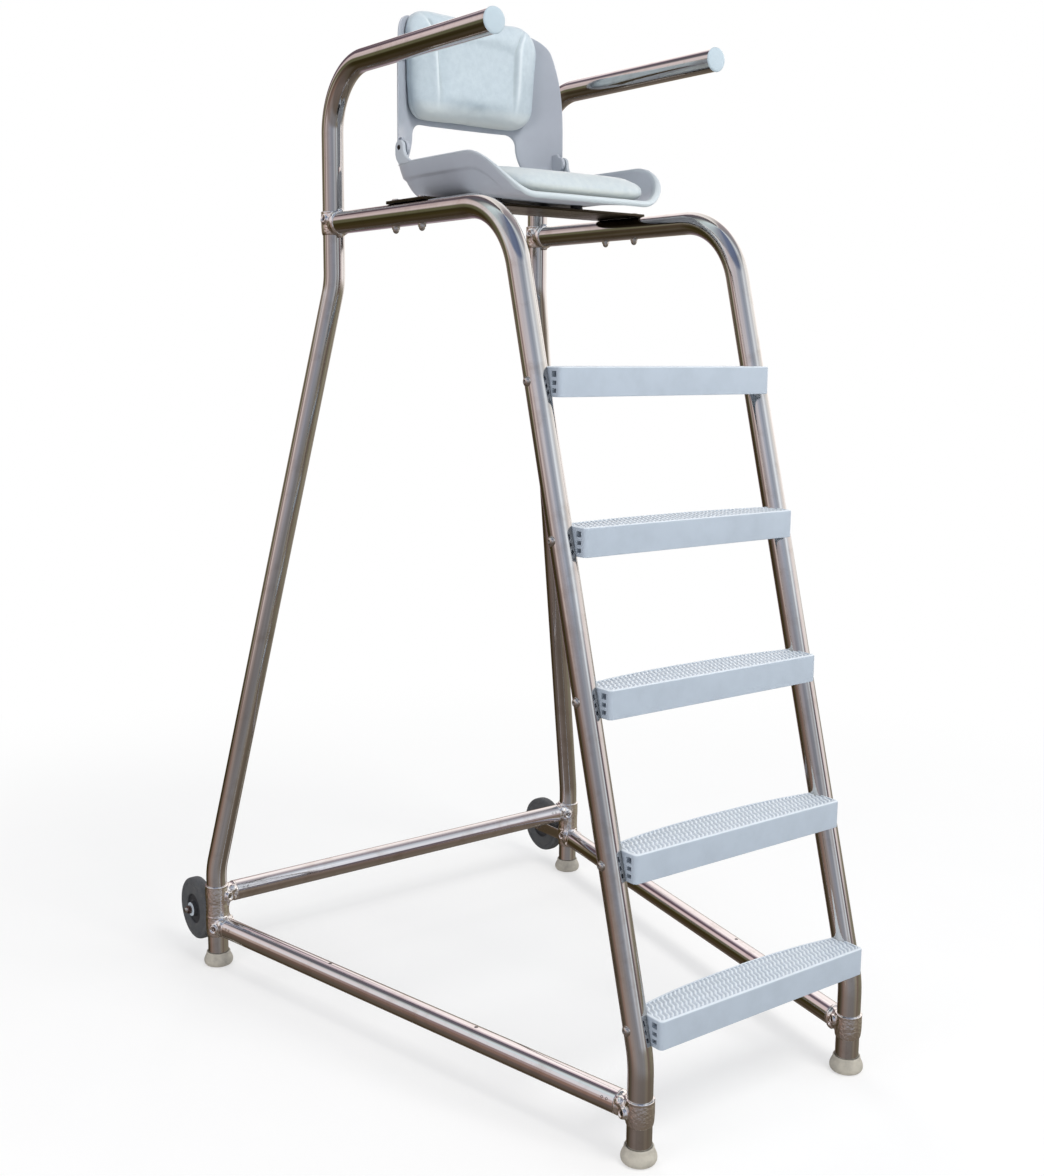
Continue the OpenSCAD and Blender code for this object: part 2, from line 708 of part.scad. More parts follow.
// A flat layer of the cushion at height z, for hulling; the gaps are to the pan's outer edges
module cushion_layer(side_gap, front_gap, back_gap, z) {
    y0 = pan_front + front_gap;
    y1 = pan_back - back_gap;
    n = 48;
    translate([0, (y0 + y1) / 2, z]) linear_extrude(1)
        polygon([for (k = [0 : n - 1]) plan(360 * k / n, pan_w / 2 - side_gap, (y1 - y0) / 2)]);
}

module seat_cushion() {
    base_gap = pan_t + pan_curve;    // the base rests on the flat of the pan
    color(vinyl_white) hull() {
        cushion_layer(base_gap, base_gap, base_gap, pan_floor);
        cushion_layer(cushion_side_gap + 4, 27, 66, pan_floor + cushion_t * 0.39);
        cushion_layer(cushion_side_gap, 48, 52, pan_floor + cushion_t * 0.53);
        cushion_layer(cushion_side_gap + 14, 80, 66, pan_floor + cushion_t - 1);
    }
}

// ---- seat back -----------------------------------------------------------

// Where the front of the shell lies, at distance x from the middle
function shell_y(x) = back_mid_y - back_wrap * pow(abs(x) / (back_w / 2), 4);
function shell_half(h) = back_w / 2 - back_taper * pow(max(0, (h - lug_top) / (back_h - lug_top)), 3.2);

// Plan of a sheet that follows the shell, from inset in front of its face to depth behind it
module shell_section(inset, depth) {
    n = 32;
    xs = [for (k = [0 : n]) -back_w / 2 * cos(180 * k / n)];
    polygon(concat([for (x = xs) [x, shell_y(x) - inset]],
                   [for (k = [n : -1 : 0]) [xs[k], shell_y(xs[k]) + depth]]));
}

// An outline given by its right half, mirrored to the left
module both_halves(right) {
    last = len(right) - 1;
    polygon(concat(right, [for (k = [last : -1 : 0]) [-right[k][0], right[k][1]]]));
}

// Points of a quarter circle of radius r about [x, y], from angle a0
function quarter(x, y, r, a0) = let (n = 8)
    [for (k = [0 : n]) let (a = a0 + 90 * k / n) [x + r * cos(a), y + r * sin(a)]];

// Front view of the shell above the hinge line, with round top corners
module shell_front() {
    corner = 50;
    n = 12;
    side_top = back_h - corner;
    leg_x = lug_x + hinge_lug_t;
    both_halves(concat(
        [[leg_x, back_low], [leg_x, lug_top]],
        [for (k = [0 : n]) let (h = lug_top + (side_top - lug_top) * k / n) [shell_half(h), h]],
        quarter(shell_half(side_top) - corner, side_top, corner, 0)));
}

// The opening between the two legs, round at its upper corners
module cutout_front() {
    corner = 26;
    half = cutout_w / 2;
    both_halves(concat([[half + cutout_flare, back_low - 20]],
                       quarter(half - corner, cutout_h - corner, corner, 0)));
}

// Children in the front view, swept from front to back through the whole seat
module front_sweep_of() {
    reach = 2 * hinge_inset;
    translate([0, hinge_y + reach, hinge_z]) rotate([90, 0, 0]) linear_extrude(2 * reach) children();
}

module back_shell() {
    lug_h = 70;        // height of the flank that joins a lug to the shell
    lug_drop = 5;
    color(shell_white) difference() {
        union() {
            intersection() {
                translate([0, 0, hinge_z + back_low - eps]) linear_extrude(back_h - back_low + 2 * eps)
                    shell_section(0, back_t);
                front_sweep_of() shell_front();
            }
            for (x0 = [-lug_x - hinge_lug_t, lug_x]) {
                hinge_disc(x0, hinge_lug_r, hinge_lug_t);
                intersection() {
                    translate([x0, hinge_y - hinge_lug_r, hinge_z - lug_drop])
                        cube([hinge_lug_t, back_mid_y - hinge_y + hinge_lug_r, lug_drop + lug_h]);
                    translate([0, 0, hinge_z - 2 * lug_drop]) linear_extrude(lug_h + 4 * lug_drop)
                        shell_section(back_wrap, back_t / 2);
                }
            }
        }
        front_sweep_of() cutout_front();
        for (s = [-1, 1])
            hinge_disc(s * lug_x - 2 * hinge_lug_t, hinge_bolt_d / 2 + running, 4 * hinge_lug_t);
    }
}

module back_cushion() {
    low = cutout_h + 8;
    high = back_h + 10;
    half = back_pad_w / 2;
    low_half = half - 18;
    low_corner = 32;
    top_corner = 56;
    color(vinyl_white) intersection() {
        front_sweep_of() both_halves(concat(
            quarter(low_half - low_corner, low + low_corner, low_corner, -90),
            [[half, low + 80]],
            quarter(half - top_corner, high - top_corner, top_corner, 0)));
        translate([0, 0, hinge_z]) linear_extrude(high + 1) difference() {
            translate([-half, back_mid_y - back_pad_t]) square([2 * half, back_pad_t + back_t]);
            shell_section(eps, 10 * back_t);
        }
    }
}

// A bolt through each ear and lug, with a flat head at both ends
module hinge_bolts() {
    proud = 3;
    head_t = 2;
    head_r = hinge_bolt_d * 0.9;
    grip = 2 * hinge_lug_t + hinge_gap;
    color(polished) for (s = [-1, 1]) {
        x0 = s < 0 ? -ear_x - hinge_lug_t : lug_x;
        hinge_disc(x0 - proud, hinge_bolt_d / 2, grip + 2 * proud);
        hinge_disc(x0 - proud, head_r, head_t);
        hinge_disc(x0 + grip + proud - head_t, head_r, head_t);
    }
}

// ---- parts ---------------------------------------------------------------

side(-1) front_leg_rail();  // left_front_leg_rail
side(1) front_leg_rail();  // right_front_leg_rail
side(-1) rear_leg_arm();  // left_rear_leg_arm
side(1) rear_leg_arm();  // right_rear_leg_arm
side(-1) rail_tee();  // left_rail_tee
side(1) rail_tee();  // right_rail_tee
side(-1) arm_cap();  // left_arm_cap
side(1) arm_cap();  // right_arm_cap
tread(0);  // step_1
tread(1);  // step_2
tread(2);  // step_3
tread(3);  // step_4
tread(4);  // step_5
side(-1) step_bolts();  // left_step_bolts
side(1) step_bolts();  // right_step_bolts
rear_cross_brace();
side(-1) side_brace();  // left_side_brace
side(1) side_brace();  // right_side_brace
side(-1) front_tee();  // left_front_tee
side(1) front_tee();  // right_front_tee
side(-1) rear_tee();  // left_rear_tee
side(1) rear_tee();  // right_rear_tee
side(-1) cross_tee();  // left_cross_tee
side(1) cross_tee();  // right_cross_tee
foot(-half_w, y_front);  // front_left_foot
foot(half_w, y_front);  // front_right_foot
foot(-rear_x, y_rear);  // rear_left_foot
foot(rear_x, y_rear);  // rear_right_foot
side(-1) wheel_bar();  // left_wheel_bar
side(1) wheel_bar();  // right_wheel_bar
side(-1) axle();  // left_axle
side(1) axle();  // right_axle
side(-1) axle_nut();  // left_axle_nut
side(1) axle_nut();  // right_axle_nut
side(-1) wheel();  // left_wheel
side(1) wheel();  // right_wheel
seat_plate();
plate_bolts();
seat_spacers();
seat_pan();
seat_cushion();
back_shell();
back_cushion();
hinge_bolts();
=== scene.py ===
import logging
import math
from dataclasses import dataclass, field
from enum import Enum
from typing import Callable, Sequence

import bmesh
import bpy
import numpy as np
from bpy.types import ID, Material, Mesh, Node, NodeOutputs, NodeSocket, NodeTree, Object
from mathutils import Matrix, Vector, geometry

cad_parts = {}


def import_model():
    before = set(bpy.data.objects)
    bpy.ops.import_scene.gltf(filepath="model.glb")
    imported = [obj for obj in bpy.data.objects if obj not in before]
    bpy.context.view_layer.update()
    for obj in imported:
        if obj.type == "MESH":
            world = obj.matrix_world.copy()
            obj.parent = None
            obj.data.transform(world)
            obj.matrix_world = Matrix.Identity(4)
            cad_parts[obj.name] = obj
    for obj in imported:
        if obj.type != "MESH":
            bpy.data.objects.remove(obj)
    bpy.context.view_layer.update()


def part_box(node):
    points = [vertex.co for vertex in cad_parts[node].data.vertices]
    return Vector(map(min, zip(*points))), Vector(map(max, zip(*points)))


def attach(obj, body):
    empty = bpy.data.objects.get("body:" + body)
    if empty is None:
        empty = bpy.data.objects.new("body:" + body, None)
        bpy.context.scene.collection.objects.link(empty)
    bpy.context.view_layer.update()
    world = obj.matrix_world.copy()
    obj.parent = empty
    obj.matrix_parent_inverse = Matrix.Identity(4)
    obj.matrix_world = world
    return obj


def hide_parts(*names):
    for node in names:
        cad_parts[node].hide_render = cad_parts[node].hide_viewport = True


# A lifeguard chair in bent stainless tube, with moulded treads and a padded folding seat.
# Sizes in the classes are in millimetres; a mesh is turned to metres when it is made.

LOG = logging.getLogger("lifeguard_chair")
MM = 0.001
POINT = tuple[float, float, float]
POINT2 = tuple[float, float]
SPOTS = list[tuple[Vector, Vector]]    # places with axes
TINY = 1e-5        # radius in millimetres that stands for a point on an axis
SIDES = (("left", 1), ("right", -1))    # each side, and the sign that takes the left's x there
LADDER_LEAN = math.tan(math.radians(15.2))
EAR_X = 220.35      # from the chair's middle to the inner face of an ear of the seat pan
LUG_X, LUG_T = 209.35, 8.0    # and of a lug of the back, and how thick the lug is


# ---- small tools ---------------------------------------------------------


def linear(colour: str) -> tuple[float, float, float, float]:
    """Turns an sRGB hex colour to linear RGBA.

    Args:
        colour: six hex digits, with or without a leading hash.

    Returns:
        The linear colour with an alpha of 1.
    """
    digits = colour.lstrip("#")
    srgb = [int(digits[k:k + 2], 16) / 255 for k in (0, 2, 4)]
    flat = [c / 12.92 if c <= 0.04045 else ((c + 0.055) / 1.055) ** 2.4 for c in srgb]
    return (flat[0], flat[1], flat[2], 1.0)


def fill(tree: NodeTree, node: Node, values: dict) -> None:
    """Fills a node's inputs, or links them to what feeds them.

    Args:
        tree: the tree that the node is in.
        node: the node.
        values: input name or number to a value, an output socket, or a node, which stands for
            its first output. A list feeds one input several times.
    """
    for name, value in values.items():
        for part in value if isinstance(value, list) else [value]:
            if isinstance(part, Node):
                part = part.outputs[0]
            if isinstance(part, NodeSocket):
                tree.links.new(part, node.inputs[name])
            else:
                node.inputs[name].default_value = part


def add_node(tree: NodeTree, kind: str, settings: dict | None = None,
             values: dict | None = None) -> Node:
    """Adds a node.

    Args:
        tree: the node tree that the node goes in.
        kind: the node's type name.
        settings: the node's own properties.
        values: what fills or feeds its inputs, as for fill.

    Returns:
        The new node.
    """
    node = tree.nodes.new(kind)
    for name, value in (settings or {}).items():
        setattr(node, name, value)
    fill(tree, node, values or {})
    return node


def maths(tree: NodeTree, operation: str, *values: object) -> Node:
    """A math node on one value or two."""
    return add_node(tree, "ShaderNodeMath", {"operation": operation}, dict(enumerate(values)))


def vector(tree: NodeTree, **parts: object) -> Node:
    """A vector put together from X, Y and Z; what is left out is 0."""
    return add_node(tree, "ShaderNodeCombineXYZ", None, parts)


def ranged(tree: NodeTree, value: object, span: POINT2, to: POINT2 = (0.0, 1.0),
           kind: str = "LINEAR") -> Node:
    """A value's span mapped, and held, to another span."""
    return add_node(tree, "ShaderNodeMapRange", {"interpolation_type": kind}, {
        "Value": value, "From Min": span[0], "From Max": span[1], "To Min": to[0],
        "To Max": to[1]})


def blended(tree: NodeTree, share: object, first: object, second: object,
            way: str = "MIX") -> NodeSocket:
    """A colour that goes from first to second with share; each is sRGB hex or a socket."""
    a, b = (linear(c) if isinstance(c, str) else c for c in (first, second))
    return add_node(tree, "ShaderNodeMix", {"data_type": "RGBA", "blend_type": way}, {
        0: share, 6: a, 7: b}).outputs[2]


def noise(tree: NodeTree, at: object, detail: float, roughness: float,
          distortion: float = 0.0) -> Node:
    """Cloudy noise over a place."""
    return add_node(tree, "ShaderNodeTexNoise", None, {
        "Vector": at, "Scale": 1.0, "Detail": detail, "Roughness": roughness,
        "Distortion": distortion})


def bump(tree: NodeTree, height: object, depth_mm: float, strength: float = 1.0,
         over: Node | None = None, invert: bool = False) -> Node:
    """A height as a bent normal, laid over another one where that is given."""
    return add_node(tree, "ShaderNodeBump", {"invert": invert}, {
        "Strength": strength, "Distance": depth_mm * MM, "Height": height,
        **({"Normal": over} if over else {})})


def new_material(name: str) -> tuple[Material, NodeTree, Node]:
    """A new material, its tree and its Principled shader."""
    made = bpy.data.materials.new(name)
    made.use_nodes = True
    return made, made.node_tree, made.node_tree.nodes["Principled BSDF"]


def link(thing: Object) -> Object:
    """Puts an object in the scene."""
    bpy.context.scene.collection.objects.link(thing)
    return thing


def smooth(t: float) -> float:
    """A value that eases from 0 to 1 as t does."""
    c = min(1.0, max(0.0, t))
    return c * c * (3 - 2 * c)


def arc(x: float, y: float, r: float, start: float, turn: float, n: int) -> list[POINT2]:
    """Points in n steps along an arc about (x, y), from an angle and through one, in degrees."""
    return [(x + r * math.cos(a), y + r * math.sin(a))
            for a in (math.radians(start + turn * k / n) for k in range(n + 1))]


def signed_power(value: float, power: float) -> float:
    """A power of a value's size, with the value's own sign."""
    return math.copysign(abs(value) ** power, value)


def flipped(v: Vector, sign: int) -> Vector:
    """A vector as it is on the left, or mirrored for the right."""
    return Vector((v.x * sign, v.y, v.z))


def turned(at: Sequence[float], angle: float = 0.0) -> Matrix:
    """A place, turned about Z by an angle in radians."""
    return Matrix.Translation(at) @ Matrix.Rotation(angle, 4, "Z")


def axes_at(origin: Sequence[float], z_axis: Sequence[float],
            x_axis: Sequence[float] = (1, 0, 0)) -> Matrix:
    """A frame at origin whose Z runs along z_axis, and whose X leans towards x_axis.

    Args:
        origin: where the frame stands.
        z_axis: the direction of its Z.
        x_axis: the direction that its X is turned to, as far as it can be.

    Returns:
        The frame as a matrix.
    """
    z = Vector(z_axis).normalized()
    x = Vector(x_axis)
    x = x - z * x.dot(z)
    if x.length < 1e-6:
        x = Vector((0, 1, 0)) - z * z.y
    x.normalize()
    y = z.cross(x)
    turn = Matrix((x, y, z)).transposed().to_4x4()
    return Matrix.Translation(Vector(origin)) @ turn


class Shape:
    """Points in millimetres and the faces between them, gathered before they become a mesh."""

    def __init__(self) -> None:
        """Starts with nothing."""
        self.points: list[Vector] = []
        self.faces: list[tuple[int, ...]] = []

    def add(self, other: "Shape", at: Matrix | None = None) -> "Shape":
        """Takes in another shape, moved by a matrix.

        Args:
            other: the shape to take in.
            at: where it goes; as it is if left out.

        Returns:
            This shape.
        """
        start = len(self.points)
        place = at or Matrix.Identity(4)
        self.points += [place @ p for p in other.points]
        self.faces += [tuple(k + start for k in f) for f in other.faces]
        return self

    def loft(self, rings: Sequence[Sequence[Sequence[float]]], start: bool = True,
             end: bool = True) -> "Shape":
        """Joins closed rings of equal count into a skin.

        Args:
            rings: the rings, in order.
            start: whether the first ring is filled.
            end: whether the last ring is filled.

        Returns:
            This shape.
        """
        base, n = len(self.points), len(rings[0])
        for ring in rings:
            self.points += [Vector(p) for p in ring]
        for k in range(len(rings) - 1):
            a, b = base + k * n, base + (k + 1) * n
            self.faces += [(a + i, a + (i + 1) % n, b + (i + 1) % n, b + i) for i in range(n)]
        if start:
            self.faces.append(tuple(range(base + n - 1, base - 1, -1)))
        if end:
            last = base + (len(rings) - 1) * n
            self.faces.append(tuple(range(last, last + n)))
        return self

    def lathe(self, profile: Sequence[POINT2], sides: int = 48, at: Matrix | None = None,
              closed: bool = False) -> "Shape":
        """Turns a profile of (radius, height) round Z.

        Args:
            profile: points from one end of the axis to the other.
            sides: how many sides the turned skin has.
            at: where the turned shape goes.
            closed: whether the profile is a loop round a bore.

        Returns:
            This shape.
        """
        turns = [math.tau * k / sides for k in range(sides)]
        rings = [[(max(r, TINY) * math.cos(a), max(r, TINY) * math.sin(a), z) for a in turns]
                 for r, z in profile]
        if closed:
            rings.append(rings[0])
        return self.add(Shape().loft(rings, not closed, not closed), at)

    def box(self, low: Sequence[float], high: Sequence[float]) -> "Shape":
        """Adds a block between two corners."""
        (x0, y0, z0), (x1, y1, z1) = low, high
        ring = [(x0, y0), (x1, y0), (x1, y1), (x0, y1)]
        return self.loft([[(x, y, z) for x, y in ring] for z in (z0, z1)])

    def mirrored(self) -> "Shape":
        """A copy on the other side of the chair, with its faces still outwards."""
        other = Shape()
        other.points = [flipped(p, -1) for p in self.points]
        other.faces = [tuple(reversed(f)) for f in self.faces]
        return other

    def mesh(self, name: str, sharp: float = 35.0) -> Mesh:
        """Makes the mesh in metres, its doubles merged and its faces outwards.

        Args:
            name: the mesh's name.
            sharp: edges that turn more than this, in degrees, stay crisp.

        Returns:
            The mesh.
        """
        mesh = bpy.data.meshes.new(name)
        mesh.from_pydata([tuple(p * MM) for p in self.points], [], self.faces)
        bm = bmesh.new()
        bm.from_mesh(mesh)
        bmesh.ops.remove_doubles(bm, verts=bm.verts, dist=2e-6)
        bmesh.ops.dissolve_degenerate(bm, edges=bm.edges, dist=1e-7)
        bmesh.ops.recalc_face_normals(bm, faces=bm.faces)
        bm.to_mesh(mesh)
        bm.free()
        return shade(mesh, sharp)


def shade(mesh: Mesh, sharp: float) -> Mesh:
    """Shades a mesh smooth, with its sharper edges crisp.

    Args:
        mesh: the mesh.
        sharp: edges that turn more than this, in degrees, stay crisp.

    Returns:
        The same mesh.
    """
    mesh.shade_smooth()
    if sharp < 180:
        mesh.set_sharp_from_angle(angle=math.radians(sharp))
    return mesh


def mirror_mesh(mesh: Mesh, name: str) -> Mesh:
    """A copy of a mesh on the other side of the chair, turned the right way out.

    Args:
        mesh: the mesh.
        name: the copy's name.

    Returns:
        The copy.
    """
    copy = mesh.copy()
    copy.name = name
    copy.transform(Matrix.Scale(-1, 4, (1, 0, 0)))
    copy.flip_normals()
    return copy


def scratch(mesh: Mesh) -> Object:
    """A passing object for a mesh, for modifiers to work on."""
    return link(bpy.data.objects.new("scratch", mesh))


def settled(thing: Object) -> Mesh:
    """The mesh that a passing object's modifiers give; the object is removed.

    Args:
        thing: the passing object.

    Returns:
        The new mesh.
    """
    bpy.context.view_layer.update()
    graph = bpy.context.evaluated_depsgraph_get()
    mesh = bpy.data.meshes.new_from_object(thing.evaluated_get(graph), depsgraph=graph)
    bpy.data.objects.remove(thing)
    return mesh


def combined(base: Mesh, parts: Sequence[tuple[str, Mesh]]
             ) -> Mesh:
    """Joins meshes to, or cuts them from, a base in turn.

    Args:
        base: the mesh to start from.
        parts: UNION, DIFFERENCE or INTERSECT, each with its mesh.

    Returns:
        The finished mesh.
    """
    thing = scratch(base)
    tools = []
    for kind, mesh in parts:
        tool = scratch(mesh)
        tools.append(tool)
        cut = thing.modifiers.new(kind, "BOOLEAN")
        cut.operation, cut.solver, cut.object = kind, "EXACT", tool
    mesh = settled(thing)
    for tool in tools:
        bpy.data.objects.remove(tool)
    return mesh


def remeshed(mesh: Mesh, voxel: float, rounds: int = 0) -> Mesh:
    """Joins overlapping closed skins into one, with softened inner corners.

    Args:
        mesh: the overlapping skins.
        voxel: the size of the new faces, in millimetres.
        rounds: how many times the new skin is smoothed.

    Returns:
        The new mesh.
    """
    thing = scratch(mesh)
    net = thing.modifiers.new("net", "REMESH")
    net.mode, net.voxel_size, net.use_smooth_shade = "VOXEL", voxel * MM, True
    if rounds:
        soft = thing.modifiers.new("soft", "SMOOTH")
        soft.factor, soft.iterations = 0.5, rounds
    return settled(thing)


def grown(mesh_or_curve: ID, tree: NodeTree, values: dict[str, object],
          name: str) -> Mesh:
    """Runs a Geometry Nodes tree on some data and keeps the result as a plain mesh.

    Args:
        mesh_or_curve: what the tree works on.
        tree: the tree.
        values: the tree's inputs by name.
        name: the new mesh's name.

    Returns:
        The new mesh.
    """
    thing = scratch(mesh_or_curve)
    run = thing.modifiers.new("run", "NODES")
    run.node_group = tree
    sockets = {s.name: s.identifier for s in tree.interface.items_tree
               if s.item_type == "SOCKET" and s.in_out == "INPUT"}
    for key, value in values.items():
        run[sockets[key]] = value
    mesh = settled(thing)
    mesh.name = name
    return mesh


def new_tree(name: str, inputs: dict[str, str]
             ) -> tuple[NodeTree, NodeOutputs]:
    """Starts a Geometry Nodes tree.

    Args:
        name: the tree's name.
        inputs: the name and kind of each input apart from the geometry and the finish.

    Returns:
        The tree, and the sockets that give its inputs.
    """
    tree = bpy.data.node_groups.new(name, "GeometryNodeTree")
    for label, kind in {"Geometry": "Geometry", **inputs, "Finish": "Material"}.items():
        tree.interface.new_socket(name=label, in_out="INPUT", socket_type="NodeSocket" + kind)
    tree.interface.new_socket(name="Geometry", in_out="OUTPUT", socket_type="NodeSocketGeometry")
    return tree, add_node(tree, "NodeGroupInput").outputs


def stored(tree: NodeTree, geometry_in: object, name: str, value: object,
           kind: str = "FLOAT_VECTOR") -> Node:
    """Geometry that keeps a value at each point under a name."""
    return add_node(tree, "GeometryNodeStoreNamedAttribute", {
        "data_type": kind, "domain": "POINT"}, {
        "Geometry": geometry_in, "Name": name, "Value": value})


def recalled(tree: NodeTree, name: str, kind: str = "FLOAT_VECTOR"
             ) -> Node:
    """A value that was stored under a name."""
    return add_node(tree, "GeometryNodeInputNamedAttribute", {"data_type": kind},
                    {"Name": name})


def end_tree(tree: NodeTree, made: Node, finish: NodeSocket
             ) -> None:
    """Ends a Geometry Nodes tree in real geometry that has its finish.

    Args:
        tree: the tree.
        made: the node that gives the finished geometry.
        finish: the socket that gives the finish.
    """
    real = add_node(tree, "GeometryNodeRealizeInstances", None, {"Geometry": made})
    done = add_node(tree, "GeometryNodeSetMaterial", None, {
        "Geometry": real, "Material": finish})
    add_node(tree, "NodeGroupOutput", None, {"Geometry": done})


def piece(name: str, mesh: Mesh, body: str, slot: str, finish: "Finish | None",
          stands_for: Sequence[str] = ()) -> Object:
    """Links a finished mesh as a piece of the chair that rides on a body.

    Args:
        name: the piece's name.
        mesh: its mesh, in place and in metres.
        body: the body that it moves with.
        slot: the material slot that its finish belongs to; not used.
        finish: its finish, or None where its mesh has materials already.
        stands_for: the CAD nodes that it replaces.

    Returns:
        The new object.
    """
    thing = link(bpy.data.objects.new(name, mesh))
    if finish is not None:
        mesh.materials.clear()
        mesh.materials.append(finish.material())
    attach(thing, body)
    if stands_for:
        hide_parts(*stands_for)
    LOG.info("%s: %d faces, on %s", name, len(mesh.polygons), body)
    return thing


def store(mesh: Mesh, name: str, values: Sequence[float]) -> None:
    """Stores a number for each of a mesh's points, for its finish to read."""
    mesh.attributes.new(name, "FLOAT", "POINT").data.foreach_set("value", values)


def pruned(mesh: Mesh) -> Mesh:
    """Drops a mesh's material slots, so that one finish can cover it all.

    Args:
        mesh: the mesh.

    Returns:
        The same mesh.
    """
    mesh.materials.clear()
    for face in mesh.polygons:
        face.material_index = 0
    return mesh


# ---- finishes ------------------------------------------------------------


class Grain(Enum):
    """What a pattern follows."""

    OBJECT = "object"
    ALONG_TUBE = "along"


@dataclass(frozen=True)
class Finish:
    """A surface: what it is made of, its colours and how it was worked.

    Colours are sRGB hex. A finish makes its material once and gives the same one again.
    """

    name: str
    colour: str
    second: str
    roughness: float

    def material(self) -> Material:
        """The material, made on the first call."""
        known = bpy.data.materials.get(self.name)
        if known:
            return known
        made, tree, shader = new_material(self.name)
        made.diffuse_color = linear(self.colour)
        fill(tree, shader, self.dress(tree))
        return made

    def dress(self, tree: NodeTree) -> dict[str, object]:
        """What goes in the shader's inputs; each kind of finish has its own way."""
        raise NotImplementedError

    def place(self, tree: NodeTree, scale: POINT, turn: float = 0.0
              ) -> Node:
        """Object coordinates in millimetres, stretched by scale and turned round Z.

        Args:
            tree: the material's tree.
            scale: the pattern's cells in a millimetre, along each axis.
            turn: the turn, in degrees.

        Returns:
            The node that gives the place.
        """
        where = add_node(tree, "ShaderNodeTexCoord")
        turned = add_node(tree, "ShaderNodeMapping", {"vector_type": "TEXTURE"}, {
            "Vector": where.outputs["Object"], "Rotation": (0, 0, math.radians(turn))})
        return self.sized(tree, turned, scale)

    @staticmethod
    def sized(tree: NodeTree, at: object, scale: POINT) -> Node:
        """A place in metres times a scale for each millimetre."""
        return add_node(tree, "ShaderNodeMapping", None, {
            "Vector": at, "Scale": tuple(s / MM for s in scale)})

    def cells(self, tree: NodeTree, size_mm: float) -> Node:
        """Object coordinates for a pattern of an even size."""
        return self.place(tree, (1 / size_mm,) * 3)

    @staticmethod
    def toned(tree: NodeTree, colour: NodeSocket, tones: dict[str, str]
              ) -> NodeSocket:
        """A colour with another tone wherever the mesh has a mark of that name.

        Args:
            tree: the material's tree.
            colour: the colour to start from.
            tones: a tone for each mark's name; an empty tone is passed over.

        Returns:
            The new colour's socket.
        """
        for name, tone in tones.items():
            if tone:
                mark = add_node(tree, "ShaderNodeAttribute", {"attribute_name": name})
                colour = blended(tree, mark.outputs["Fac"], colour, tone)
        return colour


@dataclass(frozen=True)
class DrawnSteel(Finish):
    """Stainless steel tube or bar, drawn and then polished lengthwise.

    Stainless reads as a warm grey mirror. Drawing and polishing leave fine lines along
    the length, so highlights run the whole way down the tube in narrow streaks.
    """

    grain: Grain = Grain.ALONG_TUBE
    line_mm: float = 2.6      # the polish lines are finer; they are drawn as wide as they can show
    line_depth_mm: float = 0.006
    line_l_mm: float = 420.0
    band_mm: float = 16.0     # broad bands of a slightly other tone
    band_l_mm: float = 900.0
    smear_mm: float = 55.0    # marks of handling
    smear: str = "#C9B9A8"
    turn: float = 0.0         # which way the piece runs in plan, where its grain is OBJECT

    def dress(self, tree: NodeTree) -> dict[str, object]:
        """Lengthwise lines in colour, roughness and height, with faint handling marks.

        Args:
            tree: the material's tree.

        Returns:
            The shader's inputs.
        """
        sizes = ((1 / self.line_mm, 1 / self.line_l_mm), (1 / self.band_mm, 1 / self.band_l_mm))
        if self.grain is Grain.ALONG_TUBE:
            along = add_node(tree, "ShaderNodeAttribute", {"attribute_name": "tube_place"})
            fine_at, broad_at = (self.sized(tree, along.outputs["Vector"], (w, w, run))
                                 for w, run in sizes)
        else:
            fine_at, broad_at = (self.place(tree, (run, w, w), self.turn) for w, run in sizes)
        lines = noise(tree, fine_at, 3.0, 0.6)
        bands = noise(tree, broad_at, 2.0, 0.5)
        smears = noise(tree, self.cells(tree, self.smear_mm), 5.0, 0.62)
        tinted = blended(tree, ranged(tree, bands, (0.36, 0.64)), self.colour, self.second)
        rough = ranged(tree, lines, (0.3, 0.7), (self.roughness * 0.88, self.roughness * 1.12))
        return {
            "Base Color": blended(tree, ranged(tree, smears, (0.52, 0.75), (0.0, 0.4)), tinted,
                                  self.smear, "MULTIPLY"),
            "Metallic": 1.0,
            "Roughness": maths(tree, "ADD", rough, ranged(tree, smears, (0.5, 0.75), (0.0, 0.1))),
            "Normal": bump(tree, lines, self.line_depth_mm * self.line_mm)}


@dataclass(frozen=True)
class CastSteel(Finish):
    """Cast stainless steel, ground and tumbled bright.

    The skin is slightly uneven, so reflections break into lumps, and dark residue stays
    in the pits and corners that the polishing didn't reach.
    """

    lump_mm: float = 9.0
    lump_depth_mm: float = 0.35
    pit_mm: float = 1.6

    def dress(self, tree: NodeTree) -> dict[str, object]:
        """Soft lumps, small pits and darker residue.

        Args:
            tree: the material's tree.

        Returns:
            The shader's inputs.
        """
        lumps = noise(tree, self.cells(tree, self.lump_mm), 2.0, 0.45)
        pits = noise(tree, self.cells(tree, self.pit_mm), 3.0, 0.7)
        residue = ranged(tree, pits, (0.58, 0.72), (0.0, 0.75))
        coarse = bump(tree, lumps, self.lump_depth_mm)
        return {
            "Base Color": blended(tree, residue, self.colour, self.second),
            "Metallic": 1.0,
            "Roughness": ranged(tree, pits, (0.35, 0.7), (self.roughness, self.roughness + 0.16)),
            "Normal": bump(tree, pits, 0.06, 0.5, coarse, True)}


